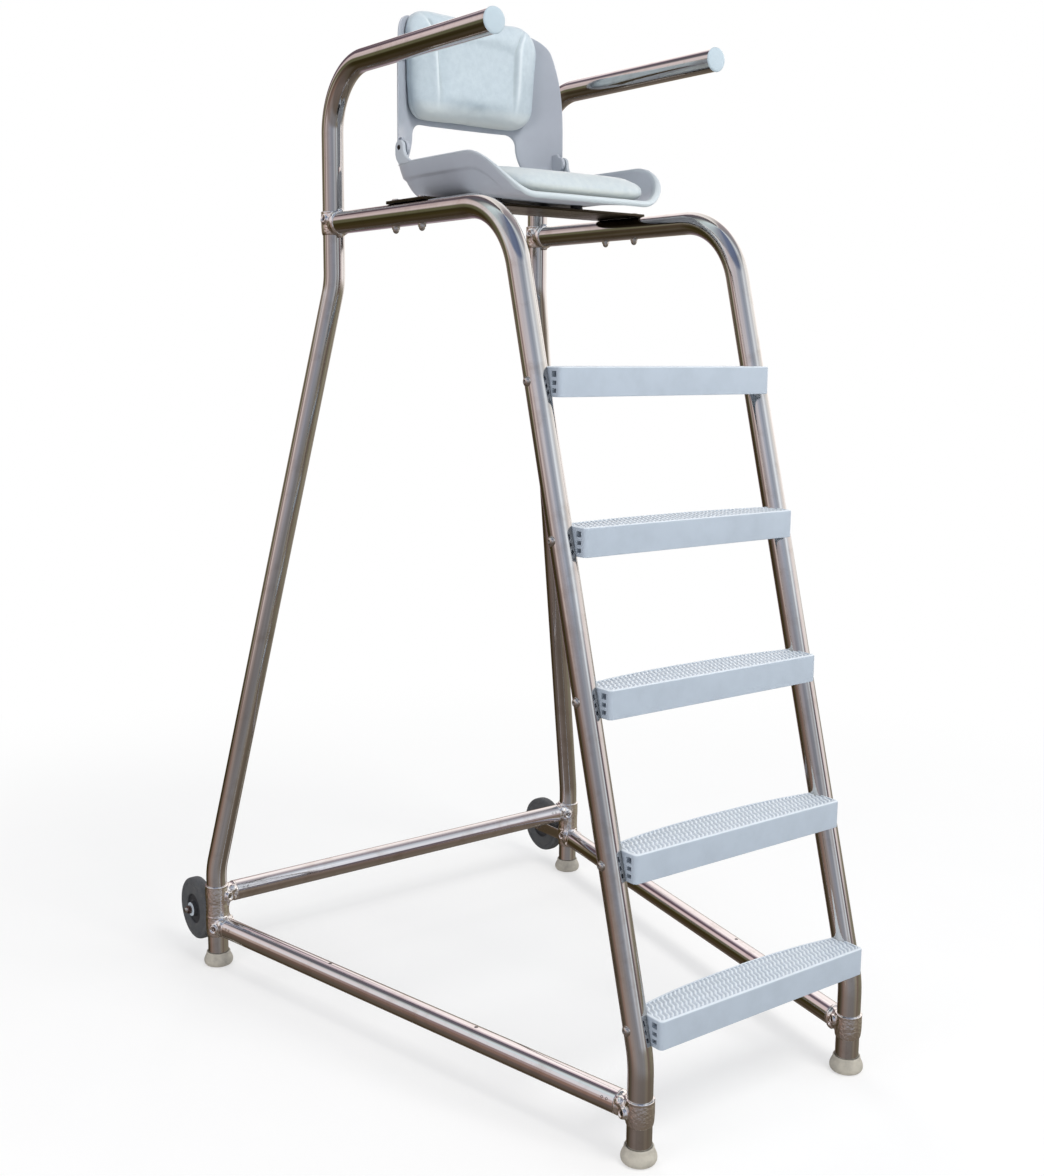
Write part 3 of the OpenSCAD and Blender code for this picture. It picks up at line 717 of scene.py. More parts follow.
@dataclass(frozen=True)
class Moulded(Finish):
    """A moulded plastic or rubber skin.

    The mould's fine spark texture dulls the gloss, the pigment is even, and handling
    leaves faint marks and dust that settles unevenly.
    """

    grain_mm: float = 1.8     # real spark texture is 0.1 to 0.3 mm; drawn coarser so that it shows
    grain_depth_mm: float = 0.05
    specular: float = 0.5
    dirt: float = 0.35
    dirt_mm: float = 60.0
    edge: str = ""            # a painted highlight where the mesh marks one, as on rolled edges and tops
    shade_and_grime: str = ""          # and a darker tone where it marks painted shade, and grime on tread floors

    def dress(self, tree: NodeTree) -> dict[str, object]:
        """Mottled pigment, grain in height and roughness, a little dirt, and the painted highlight
        and painted shade that the mesh marks.

        Args:
            tree: the material's tree.

        Returns:
            The shader's inputs.
        """
        mottle = noise(tree, self.cells(tree, self.dirt_mm), 6.0, 0.6)
        grain = noise(tree, self.cells(tree, self.grain_mm), 3.0, 0.65)
        scuffs = add_node(tree, "ShaderNodeTexVoronoi", {"feature": "DISTANCE_TO_EDGE"}, {
            "Vector": self.place(tree, (1 / 34, 1 / 13, 1 / 17), 24), "Scale": 1.0})
        share = maths(tree, "MULTIPLY", ranged(tree, mottle, (0.42, 0.72), (0.0, self.dirt)),
                      ranged(tree, grain, (0.35, 0.65), (0.55, 1.0)))
        rough = ranged(tree, mottle, (0.3, 0.7), (self.roughness - 0.05, self.roughness + 0.09))
        return {
            "Base Color": self.toned(tree, blended(tree, share, self.colour, self.second), {
                "painted_highlight": self.edge, "shade_and_grime": self.shade_and_grime}),
            "Roughness": maths(tree, "ADD", rough, ranged(tree, scuffs, (0.0, 0.035),
                                                          (0.06, 0.0))),
            "IOR": 1.5,
            "Specular IOR Level": self.specular,
            "Normal": bump(tree, grain, self.grain_depth_mm, 0.7)}


@dataclass(frozen=True)
class Vinyl(Finish):
    """Coated vinyl cloth over foam.

    The coating is embossed with a leather grain and has a soft satin shine; it wrinkles
    a little where the foam gives, and yellows slightly where hands and water reach it.
    Where its low tone is paler than the vinyl, as on the back, it is painted bounce light;
    its ridges get a painted highlight and its creases painted shade.
    """

    cell_mm: float = 3.4      # the embossed cells are about 1 mm; drawn coarser so that they show
    fade_mm: float = 34.0     # height over which the yellowing grows
    yellowing_and_bounce_light_below: float = 0.0   # height in millimetres under which the vinyl takes its low tone, of yellowing and painted bounce light
    yellowing_and_bounce_light: str = "#CFCDB4"
    ridge_highlight: str = "#EAF2F5"     # a painted highlight where the mesh marks a ridge
    shaded_and_grimy: str = "#A6B1B4"    # and painted shade where it marks a crease

    def dress(self, tree: NodeTree) -> dict[str, object]:
        """Leather cells, slack wrinkles, the low tone of yellowing and painted bounce light, and
        the painted highlight and shade that the mesh marks.

        Args:
            tree: the material's tree.

        Returns:
            The shader's inputs.
        """
        cells = add_node(tree, "ShaderNodeTexVoronoi", {"feature": "DISTANCE_TO_EDGE"}, {
            "Vector": self.cells(tree, self.cell_mm), "Scale": 1.0})
        slack = noise(tree, self.place(tree, (1 / 48, 1 / 48, 1 / 75)), 3.0, 0.5, 0.8)
        tint = noise(tree, self.cells(tree, 14), 6.0, 0.7)
        where = add_node(tree, "ShaderNodeTexCoord")
        parts = add_node(tree, "ShaderNodeSeparateXYZ", None, {0: where.outputs["Object"]})
        low = ranged(tree, parts.outputs["Z"], ((self.yellowing_and_bounce_light_below - self.fade_mm) * MM,
                                                self.yellowing_and_bounce_light_below * MM), (0.85, 0.0))
        mottled = blended(tree, ranged(tree, tint, (0.35, 0.7)), self.colour, self.second)
        soft = bump(tree, slack, 2.2, 0.6)
        return {
            "Base Color": self.toned(tree, blended(tree, low, mottled, self.yellowing_and_bounce_light), {
                "ridge": self.ridge_highlight, "crease": self.shaded_and_grimy}),
            "Roughness": ranged(tree, cells, (0.0, 0.2), (self.roughness + 0.12, self.roughness)),
            "IOR": 1.52,
            "Sheen Weight": 0.06,
            "Normal": bump(tree, ranged(tree, cells, (0.0, 0.16)), 0.12, 0.55, soft)}


# Stainless tube as it leaves the polishing belt, a warm grey
TUBE = DrawnSteel("stainless_tube_belt_polished", "#D2D1CF", "#B0AEAB", 0.09)
# The braces are polished further, to a near mirror
BRACE = DrawnSteel("stainless_tube_mirror_polished", "#D6D2D2", "#CBC8C8", 0.07,
                   line_depth_mm=0.003)
CASTING = CastSteel("cast_stainless_tumbled", "#E2DFDC", "#6A6058", 0.07,
                    lump_mm=6.5, lump_depth_mm=1.5)
BOLT = CastSteel("stainless_bolt_turned", "#C2BFBA", "#6C675F", 0.2, lump_mm=5,
                 lump_depth_mm=0.04)
SCREW = CastSteel("steel_socket_screw_blackened", "#3C3834", "#201E1C", 0.38, lump_mm=4,
                  lump_depth_mm=0.03)
# Rolled sheet, brushed across the chair; its colour is painted dark as the shade and dark
# reflections under the seat pan
SHADED_PLATE = DrawnSteel("stainless_sheet_brushed_painted_shade", "#332D24", "#423C31", 0.28, Grain.OBJECT,
                   line_mm=1.8)
WHEEL_BAR = DrawnSteel("stainless_flat_bar_polished", "#B9B5B0", "#CDCAC7", 0.16, Grain.OBJECT,
                       line_mm=1.5, turn=90)
CAP = Moulded("polypropylene_cap_moulded", "#B2C2CB", "#9FAEB5", 0.3, specular=0.5)
# Its top edge and ribs get a painted highlight, its window cells painted shade, and its sunken
# field grime
TREAD = Moulded("polypropylene_tread_moulded", "#ABB7C3", "#98A2AD", 0.44, grain_depth_mm=0.07,
                dirt=0.45, edge="#E0E8EE", shade_and_grime="#AFB8C3")
FOOT = Moulded("vinyl_rubber_foot_moulded", "#BAB5A8", "#86827A", 0.55, grain_depth_mm=0.09,
               dirt=0.8, dirt_mm=26)
NYLON = Moulded("nylon_washer_moulded", "#C9D3DC", "#AEB6BC", 0.35, grain_mm=1.2, dirt_mm=8)
# Its sunken web is darkened as painted shade
TYRE = Moulded("rubber_wheel_moulded", "#4F5255", "#646360", 0.6, grain_depth_mm=0.12,
               specular=0.4, dirt=0.6, dirt_mm=22, shade_and_grime="#37383B")
# The lock nuts have a thin brown film of rust
NUT = CastSteel("steel_lock_nut_rusted", "#6E5C56", "#3A2A26", 0.24, lump_mm=4,
                lump_depth_mm=0.05)
SPACER = Moulded("black_rubber_spacer", "#1E1E20", "#33322F", 0.62, dirt=0.5, dirt_mm=12)
# Its rolled rim gets a painted highlight, and its outer body under the band gets painted shade
SHELL = Moulded("abs_seat_shell_moulded", "#B0B6BF", "#A2A4AE", 0.34, grain_depth_mm=0.05,
                dirt=0.45, dirt_mm=90, edge="#C7D1D5", shade_and_grime="#A09EA5")
# The inside of a drain hole, painted near-black as shade
BORE_SHADE = Moulded("steel_bore_painted_shade", "#141312", "#1F1D1B", 0.9, specular=0.1, dirt_mm=8)
SEAT_VINYL = Vinyl("vinyl_seat_cushion_embossed", "#C4CDCF", "#B9C4C9", 0.34, yellowing_and_bounce_light_below=1806)
# Its low tone is paler than the vinyl: painted bounce light from the seat cushion
BACK_VINYL = Vinyl("vinyl_back_cushion_embossed", "#BECBD2", "#B2C0C8", 0.34, yellowing_and_bounce_light_below=2014,
                   yellowing_and_bounce_light="#E4E7E2")


# ---- places taken from the frame ----------------------------------------


@dataclass(frozen=True)
class Places:
    """Where the frame's main lines run, in millimetres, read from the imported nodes."""

    half_w: float      # from the chair's middle to a front leg's axis
    rear_x: float      # and to a rear leg's foot
    y_front: float
    y_rear: float
    y_post: float
    tube_r: float
    tee_r: float
    rail_h: float
    arm_h: float
    arm_tip: float     # front face of an arm's cap
    brace_h: float     # side braces
    cross_h: float     # rear cross brace

    @classmethod
    def read(cls) -> "Places":
        """Works the places out from the nodes' boxes."""
        cross = corners("rear_cross_brace")
        foot = middle("front_left_foot")
        rear = middle("rear_left_foot")
        tee = corners("left_rail_tee")
        cap = corners("left_arm_cap")
        tee_r = (tee[1].x - tee[0].x) / 2
        return cls(
            half_w=-foot.x, rear_x=-rear.x, y_front=foot.y, y_rear=rear.y,
            y_post=tee[1].y - tee_r, tube_r=(cross[1].z - cross[0].z) / 2, tee_r=tee_r,
            rail_h=(tee[0].z + tee[1].z) / 2, arm_h=(cap[0].z + cap[1].z) / 2,
            arm_tip=cap[0].y, brace_h=middle("left_front_tee").z,
            cross_h=(cross[0].z + cross[1].z) / 2)


def corners(node: str) -> tuple[Vector, Vector]:
    """A node's lowest and highest corner in millimetres."""
    low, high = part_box(node)
    return low / MM, high / MM


def middle(node: str) -> Vector:
    """The middle of a node's box in millimetres."""
    low, high = corners(node)
    return (low + high) / 2


# ---- shared makers -------------------------------------------------------


class Sweep:
    """Sweeps round tube along a path with Geometry Nodes."""

    _tree: NodeTree | None = None

    @classmethod
    def tree(cls) -> NodeTree:
        """The tree: a circle swept along the path, with its place on the tube kept for polish."""
        if cls._tree:
            return cls._tree
        tree, given = new_tree("swept_tube", {"Radius": "Float", "Sides": "Int"})
        run = add_node(tree, "GeometryNodeSplineParameter").outputs["Length"]
        path = stored(tree, given["Geometry"], "run", run, "FLOAT")
        ring = add_node(tree, "GeometryNodeCurvePrimitiveCircle", {"mode": "RADIUS"}, {
            "Resolution": given["Sides"], "Radius": given["Radius"]})
        marked = stored(tree, ring, "ring", add_node(tree, "GeometryNodeInputPosition"))
        swept = add_node(tree, "GeometryNodeCurveToMesh", None, {
            "Curve": path, "Profile Curve": marked, "Fill Caps": True,
            "Scale": add_node(tree, "GeometryNodeInputRadius")})
        flat = add_node(tree, "ShaderNodeSeparateXYZ", None, {0: recalled(tree, "ring")})
        made = stored(tree, swept, "tube_place", vector(
            tree, X=flat.outputs["X"], Y=flat.outputs["Y"], Z=recalled(tree, "run", "FLOAT")))
        for name in ("run", "ring"):
            made = add_node(tree, "GeometryNodeRemoveAttribute", None, {
                "Geometry": made, "Name": name})
        end_tree(tree, made, given["Finish"])
        cls._tree = tree
        return tree

    @classmethod
    def along(cls, name: str, points: Sequence[Vector], radius: float, finish: Finish,
              widths: Sequence[float] | None = None, sides: int = 48) -> Mesh:
        """Sweeps a tube along points.

        Args:
            name: the mesh's name.
            points: the tube's middle line, in millimetres.
            radius: the tube's radius, in millimetres.
            finish: the tube's finish.
            widths: a share of the radius for each point; 1 everywhere if left out.
            sides: how many flats the round has.

        Returns:
            The mesh.
        """
        curve = bpy.data.curves.new(name, "CURVE")
        curve.dimensions = "3D"
        line = curve.splines.new("POLY")
        line.points.add(len(points) - 1)
        for k, p in enumerate(points):
            line.points[k].co = (*(p * MM), 1)
            line.points[k].radius = widths[k] if widths else 1.0
        mesh = grown(curve, cls.tree(), {"Radius": radius * MM, "Sides": sides,
                                         "Finish": finish.material()}, name)
        return shade(mesh, 40)


def bent_line(corner_points: Sequence[Vector], radii: Sequence[float],
              step: float = 3.0) -> list[Vector]:
    """A line through corners, with each inner corner bent to its radius.

    Args:
        corner_points: the corners, in millimetres.
        radii: the bend's radius at each corner.
        step: the turn between points on a bend, in degrees.

    Returns:
        The points of the line.
    """
    line = [corner_points[0]]
    for k in range(1, len(corner_points) - 1):
        p = corner_points[k]
        d_in = (p - corner_points[k - 1]).normalized()
        d_out = (corner_points[k + 1] - p).normalized()
        turn = math.acos(max(-1.0, min(1.0, d_in.dot(d_out))))
        trim = radii[k] * math.tan(turn / 2)
        start = p - d_in * trim
        inward = (d_out - d_in * d_in.dot(d_out)).normalized()
        centre = start + inward * radii[k]
        n = max(3, math.ceil(math.degrees(turn) / step))
        for i in range(n + 1):
            a = turn * i / n
            line.append(centre - inward * radii[k] * math.cos(a) + d_in * radii[k] * math.sin(a))
    line.append(corner_points[-1])
    return line


class Studs:
    """Sets one fastener at many places with Geometry Nodes."""

    _tree: NodeTree | None = None

    @classmethod
    def tree(cls) -> NodeTree:
        """The tree: the fastener at each point, its Z along the point's own axis."""
        if cls._tree:
            return cls._tree
        tree, given = new_tree("fasteners_at_points", {
            "Fastener": "Object", "Turn": "Float", "Seed": "Int"})
        facing = add_node(tree, "FunctionNodeAlignRotationToVector", {"axis": "Z"}, {
            "Vector": recalled(tree, "axis")})
        spin = add_node(tree, "FunctionNodeRandomValue", {"data_type": "FLOAT"}, {
            2: 0.0, 3: given["Turn"], "Seed": given["Seed"]})
        way = add_node(tree, "FunctionNodeRotateRotation", {"rotation_space": "LOCAL"}, {
            0: facing, 1: vector(tree, Z=spin.outputs[1])})
        shape = add_node(tree, "GeometryNodeObjectInfo", None, {"Object": given["Fastener"]})
        end_tree(tree, add_node(tree, "GeometryNodeInstanceOnPoints", None, {
            "Points": given["Geometry"], "Instance": shape.outputs["Geometry"],
            "Rotation": way}), given["Finish"])
        cls._tree = tree
        return tree

    @classmethod
    def at(cls, name: str, fastener: Shape, places: SPOTS, finish: Finish,
           nodes: Sequence[str] = (), body: str = "frame", slot: str = "hardware",
           seed: int = 7) -> Object:
        """Makes one piece of the fasteners at all their places, each turned by chance.

        Args:
            name: the piece's name.
            fastener: its shape, standing on Z = 0 and pointing up.
            places: where each goes and which way it points, in millimetres.
            finish: its finish.
            nodes: the frame's nodes that the piece stands for.
            body: the body that it rides.
            slot: its material slot.
            seed: fixes the turns.

        Returns:
            The piece.
        """
        spots = bpy.data.meshes.new(name)
        spots.from_pydata([tuple(p * MM) for p, _ in places], [], [])
        axis = spots.attributes.new("axis", "FLOAT_VECTOR", "POINT")
        axis.data.foreach_set("vector", [c for _, d in places for c in d.normalized()])
        model = scratch(fastener.mesh(name + "_one"))
        mesh = grown(spots, cls.tree(), {"Fastener": model, "Finish": finish.material(),
                                         "Turn": math.tau, "Seed": seed}, name)
        bpy.data.objects.remove(model)
        return piece(name, shade(mesh, 35), body, slot, None, nodes)


def inset_loop(loop: Sequence[POINT2], inset: float) -> list[POINT2]:
    """An anticlockwise outline moved inwards by a small distance.

    Args:
        loop: the outline.
        inset: how far its sides move in.

    Returns:
        The new outline.
    """
    n = len(loop)
    moved = []
    for k in range(n):
        a, p, b = (Vector(loop[i % n]) for i in (k - 1, k, k + 1))
        d1, d2 = (p - a), (b - p)
        d1 = d1.normalized() if d1.length > 1e-6 else d2.normalized()
        d2 = d2.normalized() if d2.length > 1e-6 else d1
        n1, n2 = Vector((-d1.y, d1.x)), Vector((-d2.y, d2.x))
        m = n1 + n2
        m = m.normalized() if m.length > 1e-6 else n1
        moved.append(tuple(p + m * (inset / max(0.5, m.dot(n1)))))
    return moved


def filled(loop: Sequence[POINT2], cell: float
           ) -> tuple[list[POINT2], list[tuple[int, ...]]]:
    """Fills an outline with even triangles.

    Args:
        loop: the outline, anticlockwise.
        cell: the spacing of the points inside it.

    Returns:
        The points, the outline's first and in order, and the triangles.
    """
    edge = np.array(loop)
    low, high = edge.min(0), edge.max(0)
    xs = np.arange(low[0] + cell / 2, high[0], cell)
    ys = np.arange(low[1] + cell / 2, high[1], cell)
    grid = np.array([(x, y) for x in xs for y in ys])
    if len(grid):
        nxt = np.roll(edge, -1, 0)
        inside = np.zeros(len(grid), bool)
        near = np.full(len(grid), 1e9)
        for a, b in zip(edge, nxt):
            crosses = (a[1] > grid[:, 1]) != (b[1] > grid[:, 1])
            slope = (b[0] - a[0]) * (grid[:, 1] - a[1]) / (b[1] - a[1] + 1e-12) + a[0]
            inside ^= crosses & (grid[:, 0] < slope)
            along = np.clip(((grid - a) @ (b - a)) / max(1e-9, (b - a) @ (b - a)), 0, 1)
            near = np.minimum(near, np.linalg.norm(grid - (a + along[:, None] * (b - a)), axis=1))
        grid = grid[inside & (near > cell * 0.45)]
    n = len(loop)
    verts = [Vector(p) for p in loop] + [Vector(p) for p in grid]
    points, _, tris, _, _, _ = geometry.delaunay_2d_cdt(
        verts, [(k, (k + 1) % n) for k in range(n)], [], 1, 1e-6)
    return [tuple(p) for p in points], [tuple(t) for t in tris]


def panel(loop: Sequence[POINT2], thick: float, edge: float, cell: float,
          lift: Callable[[float, float, float], Sequence[float]], steps: int = 3) -> Shape:
    """A sheet with rounded edges, laid on any surface.

    Args:
        loop: the sheet's outline, anticlockwise.
        thick: its thickness.
        edge: the radius of its rounded edges, at most half the thickness.
        cell: the spacing of the points across its faces.
        lift: turns a place on the sheet and a depth into it to a point.
        steps: points on each rounded edge.

    Returns:
        The closed shape.
    """
    edge = min(edge, thick / 2)
    section = [(edge * (1 - math.sin(a)), edge * (1 - math.cos(a)))
               for a in (math.pi / 2 * k / steps for k in range(steps + 1))]
    section += [(i, thick - w) for i, w in reversed(section)]
    shape = Shape()
    rings = []
    for inset, depth in section:
        rings.append([lift(u, v, depth) for u, v in inset_loop(loop, inset)])
    shape.loft(rings, False, False)
    for depth, back in ((0.0, False), (thick, True)):
        points, tris = filled(inset_loop(loop, edge), cell)
        base = len(shape.points)
        shape.points += [Vector(lift(u, v, depth)) for u, v in points]
        shape.faces += [tuple(base + k for k in (reversed(t) if back else t)) for t in tris]
    return shape


def rounded(points: Sequence[POINT2], radii: Sequence[float],
            steps: int = 7) -> list[POINT2]:
    """A closed outline with each corner rounded to its own radius.

    Args:
        points: the outline's corners.
        radii: the radius at each corner.
        steps: steps round each corner.

    Returns:
        The new outline.
    """
    n = len(points)
    loop: list[POINT2] = []
    for k in range(n):
        a, p, b = (Vector(points[i % n]) for i in (k - 1, k, k + 1))
        d1, d2 = (p - a).normalized(), (b - p).normalized()
        turn = math.acos(max(-1.0, min(1.0, d1.dot(d2))))
        trim = radii[k] * math.tan(turn / 2)
        side = 1 if d1.x * d2.y - d1.y * d2.x > 0 else -1
        inward = Vector((-d1.y, d1.x)) * side
        centre = p - d1 * trim + inward * radii[k]
        for i in range(steps + 1):
            t = turn * i / steps
            loop.append(tuple(centre - inward * radii[k] * math.cos(t)
                              + d1 * radii[k] * math.sin(t)))
    return loop


# ---- side frames ---------------------------------------------------------


@dataclass
class SideFrames:
    """The four bent tubes of the chair, and the caps on its armrests."""

    at: Places
    foot_floor: float = 9
    front_knee_h: float = 198
    rear_knee_h: float = 240
    knee_r: float = 220
    rail_bend_r: float = 165
    splay_h: float = 1617
    arm_bend_r: float = 140
    cap_t: float = 4
    cap_lip: float = 1
    rail_end_gap: float = 2

    def front_line(self) -> list[Vector]:
        """Middle line of the left front leg and seat rail."""
        a = self.at
        y_bend = a.y_front + (a.rail_h - self.front_knee_h) * LADDER_LEAN
        return bent_line([
            Vector((-a.half_w, a.y_front, self.foot_floor)),
            Vector((-a.half_w, a.y_front, self.front_knee_h)),
            Vector((-a.half_w, y_bend, a.rail_h)),
            Vector((-a.half_w, a.y_post - a.tee_r - self.rail_end_gap, a.rail_h))],
            [0, self.knee_r, self.rail_bend_r, 0])

    def rear_line(self) -> list[Vector]:
        """Middle line of the left rear leg and armrest."""
        a = self.at
        return bent_line([
            Vector((-a.rear_x, a.y_rear, self.foot_floor)),
            Vector((-a.rear_x, a.y_rear, self.rear_knee_h)),
            Vector((-a.half_w, a.y_post, self.splay_h)),
            Vector((-a.half_w, a.y_post, a.arm_h)),
            Vector((-a.half_w, a.arm_tip + self.cap_t, a.arm_h))],
            [0, self.knee_r, self.knee_r, self.arm_bend_r, 0])

    def cap(self) -> Shape:
        """A domed cap with a lip over the tube's end."""
        r, t = self.at.tube_r + self.cap_lip, self.cap_t
        profile = [(0, 0), (r * 0.55, 0.15), (r * 0.8, 0.5), (r - 2.2, 0.95), (r - 0.9, 1.7),
                   (r - 0.15, 2.8), (r, t - 0.5), (r - 0.3, t), (r - 3, t), (r - 3, t + 6),
                   (0, t + 6)]
        return Shape().lathe(profile, 56, axes_at(
            (-self.at.half_w, self.at.arm_tip, self.at.arm_h), (0, 1, 0)))

    def build(self) -> None:
        """Makes both sides."""
        for side, sign in SIDES:
            for what, line in (("front_leg_rail", self.front_line()),
                               ("rear_leg_arm", self.rear_line())):
                mesh = Sweep.along(f"{side}_{what}_tube", [flipped(p, sign) for p in line],
                                   self.at.tube_r, TUBE)
                piece(f"{side}_{what}_tube", mesh, "frame", "stainless_tube", None,
                      [f"{side}_{what}"])
            shape = self.cap() if sign > 0 else self.cap().mirrored()
            piece(f"{side}_arm_end_cap", shape.mesh(f"{side}_arm_end_cap"), "frame",
                  "cap_plastic", CAP, [f"{side}_arm_cap"])


# ---- braces and cast fittings -------------------------------------------


@dataclass
class LowerFrame:
    """The three braces and the cast fittings that hold them and the rails."""

    at: Places
    sleeve_l: float = 52
    neck_l: float = 17
    neck_r: float = 22.2
    rail_gap: float = 2
    voxel: float = 1.25
    hole_at: float = 412
    hole_r: float = 4.2
    pin_gaps: POINT2 = (61, 72)    # from a leg's axis to its brace's two set screws

    def reach(self) -> float:
        """From a leg's axis to the end of its brace."""
        return self.at.tee_r + self.neck_l

    def brace_line(self) -> tuple[Vector, Vector]:
        """The left side brace's run, from the rear leg's axis to the front leg's."""
        a = self.at
        return (Vector((-a.rear_x, a.y_rear, a.brace_h)),
                Vector((-a.half_w, a.y_front, a.brace_h)))

    def brace(self, name: str, a: Vector, b: Vector, holes: bool,
              stands_for: str) -> None:
        """One brace tube, its ends chamfered, with drain holes where it has them.

        Args:
            name: the piece's name.
            a: the axis of the leg at one end.
            b: and of the leg at the other.
            holes: whether it has drain holes.
            stands_for: the frame's node that it stands for.
        """
        d = (b - a).normalized()
        start, end = a + d * self.reach(), b - d * self.reach()
        n = 12
        line = [start, start + d * 1.6]
        line += [start + (end - start) * (k / n) for k in range(1, n)]
        line += [end - d * 1.6, end]
        widths = [0.93, 1.0] + [1.0] * (n - 1) + [1.0, 0.93]
        mesh = Sweep.along(name, line, self.at.tube_r, BRACE, widths, 56)
        if holes:
            bore = Shape()
            for p in (a + d * self.hole_at, b - d * self.hole_at):
                top = p + Vector((0, 0, self.at.tube_r - 6))
                bore.lathe([(0, 0), (self.hole_r, 0), (self.hole_r, 9), (0, 9)], 24,
                           Matrix.Translation(top))
            cutter = bore.mesh("bore")
            cutter.materials.append(BORE_SHADE.material())
            mesh = shade(combined(mesh, [("DIFFERENCE", cutter)]), 40)
        piece(name, mesh, "frame", "polished_tube", None, [stands_for])

    def sleeve(self) -> Shape:
        """The part of a casting that clamps a leg, standing on Z."""
        r, h = self.at.tee_r, self.sleeve_l / 2
        return Shape().lathe([
            (0, -h), (r - 3.2, -h), (r - 2.2, -h + 1.4), (r - 1.2, -h + 6), (r - 0.4, -h + 15),
            (r, 0), (r - 0.2, h - 10), (r - 0.5, h - 5), (r - 0.6, h - 3.6),
            (r + 0.1, h - 3), (r + 0.1, h - 1), (r - 1.6, h), (0, h)], 72)

    def neck(self, reach: float) -> Shape:
        """The part of a casting that runs to a brace, along X from a leg's axis.

        Args:
            reach: from the leg's axis to the end of the brace.

        Returns:
            The neck.
        """
        r, n = self.at.tee_r, self.neck_r
        return Shape().lathe([
            (0, 0), (n + 2.5, 0), (n + 3.5, r - 7), (n + 1.6, r - 1), (n - 0.6, r + 4),
            (n - 0.8, r + 7), (n + 0.4, reach - 5), (n + 2.2, reach - 3.4), (n + 2.2, reach + 0.4),
            (n + 0.8, reach + 1.6), (n - 4, reach + 6), (0, reach + 6)], 64,
            axes_at((0, 0, 0), (1, 0, 0)))

    def boss(self, at: Sequence[float], axis: Sequence[float], r: float,
             height: float) -> Shape:
        """A raised, rimmed pad for a screw.

        Args:
            at: where the pad stands.
            axis: the way that it faces.
            r: the radius of its rim, nearly.
            height: its height.

        Returns:
            The pad.
        """
        return Shape().lathe([
            (0, -8), (r + 2.5, -8), (r + 1.2, height * 0.4), (r + 0.3, height - 1),
            (r - 0.6, height), (r - 1.6, height + 0.4), (r - 2.8, height), (r - 3.4, height - 2.2),
            (0, height - 2.2)], 28, axes_at(at, axis))

    def fused(self, name: str, parts: Sequence[Shape]) -> Mesh:
        """Casts overlapping parts as one, with soft corners and a slightly uneven skin.

        Args:
            name: the mesh's name.
            parts: the parts.

        Returns:
            The casting's mesh.
        """
        whole = Shape()
        for part in parts:
            whole.add(part)
        return shade(remeshed(whole.mesh(name), self.voxel, 6), 180)

    def tee_parts(self, outward: int) -> tuple[list[Shape], SPOTS]:
        """A tee whose neck runs along X.

        Args:
            outward: which side of the neck faces out of the chair, as the sign of Y.

        Returns:
            Its sleeve, neck, bosses and rib, and the place and axis of each screw.
        """
        r = self.at.tee_r
        parts, screws = [self.sleeve(), self.neck(self.reach())], []
        for at, axis in ((Vector((r * 0.66, outward * (r * 0.82), -2)),
                          Vector((0.4, outward, 0.15))),
                         (Vector((r * 0.55, -outward * (r * 0.82), 8)),
                          Vector((0.35, -outward, 0.1)))):
            parts.append(self.boss(at, axis, 10.2, 8.4))
            screws.append((at + axis.normalized() * 6.0, axis))
        for k in (-1, 1):
            lump = Vector((r + 6, outward * k * 17, 13 * k))
            parts.append(Shape().lathe([(0, -7), (9.4, -7), (9, 2), (7, 6), (0, 7.6)], 24,
                                       axes_at(lump, lump - Vector((r + 6, 0, 0)))))
        parts.append(Shape().box((r - 6, -3.2, -self.sleeve_l / 2 + 3), (r + 9, 3.2, 0)))
        return parts, screws

    def rail_parts(self) -> tuple[list[Shape], SPOTS]:
        """Sleeve, collar and bosses of a rail's casting, whose neck runs along X; its screws."""
        r = self.at.tee_r
        reach = r + self.rail_gap
        collar = Shape().lathe([
            (0, 4), (23, 4), (26.8, r - 6), (28.2, r - 1), (28, reach + 3), (26.2, reach + 6.5),
            (25, reach + 8), (0, reach + 8)], 64, axes_at((0, 0, 0), (1, 0, 0)))
        parts, screws = [self.sleeve(), collar], []
        for out in (-1, 1):
            at, axis = Vector((4, out * r * 0.86, 8)), Vector((0.12, out, 0.3))
            parts.append(self.boss(at, axis, 9.4, 6.6))
            screws.append((at + axis.normalized() * 4.3, axis))
        for z in (r - 2, -r + 2):
            parts.append(Shape().lathe([(0, -6), (7.5, -6), (6.8, 3), (4.6, 5.4), (0, 6)], 20,
                                       axes_at((reach + 1, 0, z), (0, 0, 1 if z > 0 else -1))))
        return parts, screws

    @staticmethod
    def placed(made: tuple[list[Shape], SPOTS], at: Matrix) -> tuple[list[Shape], SPOTS]:
        """A casting's parts, and its screws' places and axes, carried to its place."""
        return ([Shape().add(part, at) for part in made[0]],
                [(at @ p, at.to_3x3() @ v) for p, v in made[1]])

    def web(self) -> Shape:
        """The wall between the two castings of a rear leg, its inner edge in a round C.

        Its plane holds the leg's axis and runs along X; Z is measured from the lower sleeve.
        """
        high, r, n = self.at.cross_h - self.at.brace_h, self.at.tee_r, 14
        turns = [math.pi * k / n for k in range(n + 1)]
        curve = [(r + 13 - 13 * math.sin(a) ** 0.8, high / 2 - (high / 2 - 14) * math.cos(a))
                 for a in turns]
        loop = [(r - 6, 6), *curve, (r - 6, high - 6)]
        return Shape().loft([[(x, y, z) for x, z in loop] for y in (-5, 5)])

    def socket_screw(self) -> Shape:
        """A socket-head screw, seen from its head."""
        return Shape().lathe([
            (0, -3), (3.9, -3), (3.9, 0.7), (3.5, 1.1), (2.3, 1.1), (2.1, 0.9), (2.0, -1.4),
            (0, -1.4)], 18)

    def set_screw(self) -> Shape:
        """A set screw just under the surface, in its countersink."""
        return Shape().lathe([(0, -3), (2.6, -3), (2.7, 0.12), (2.0, 0.22), (1.3, -0.9),
                              (0, -0.9)], 14)

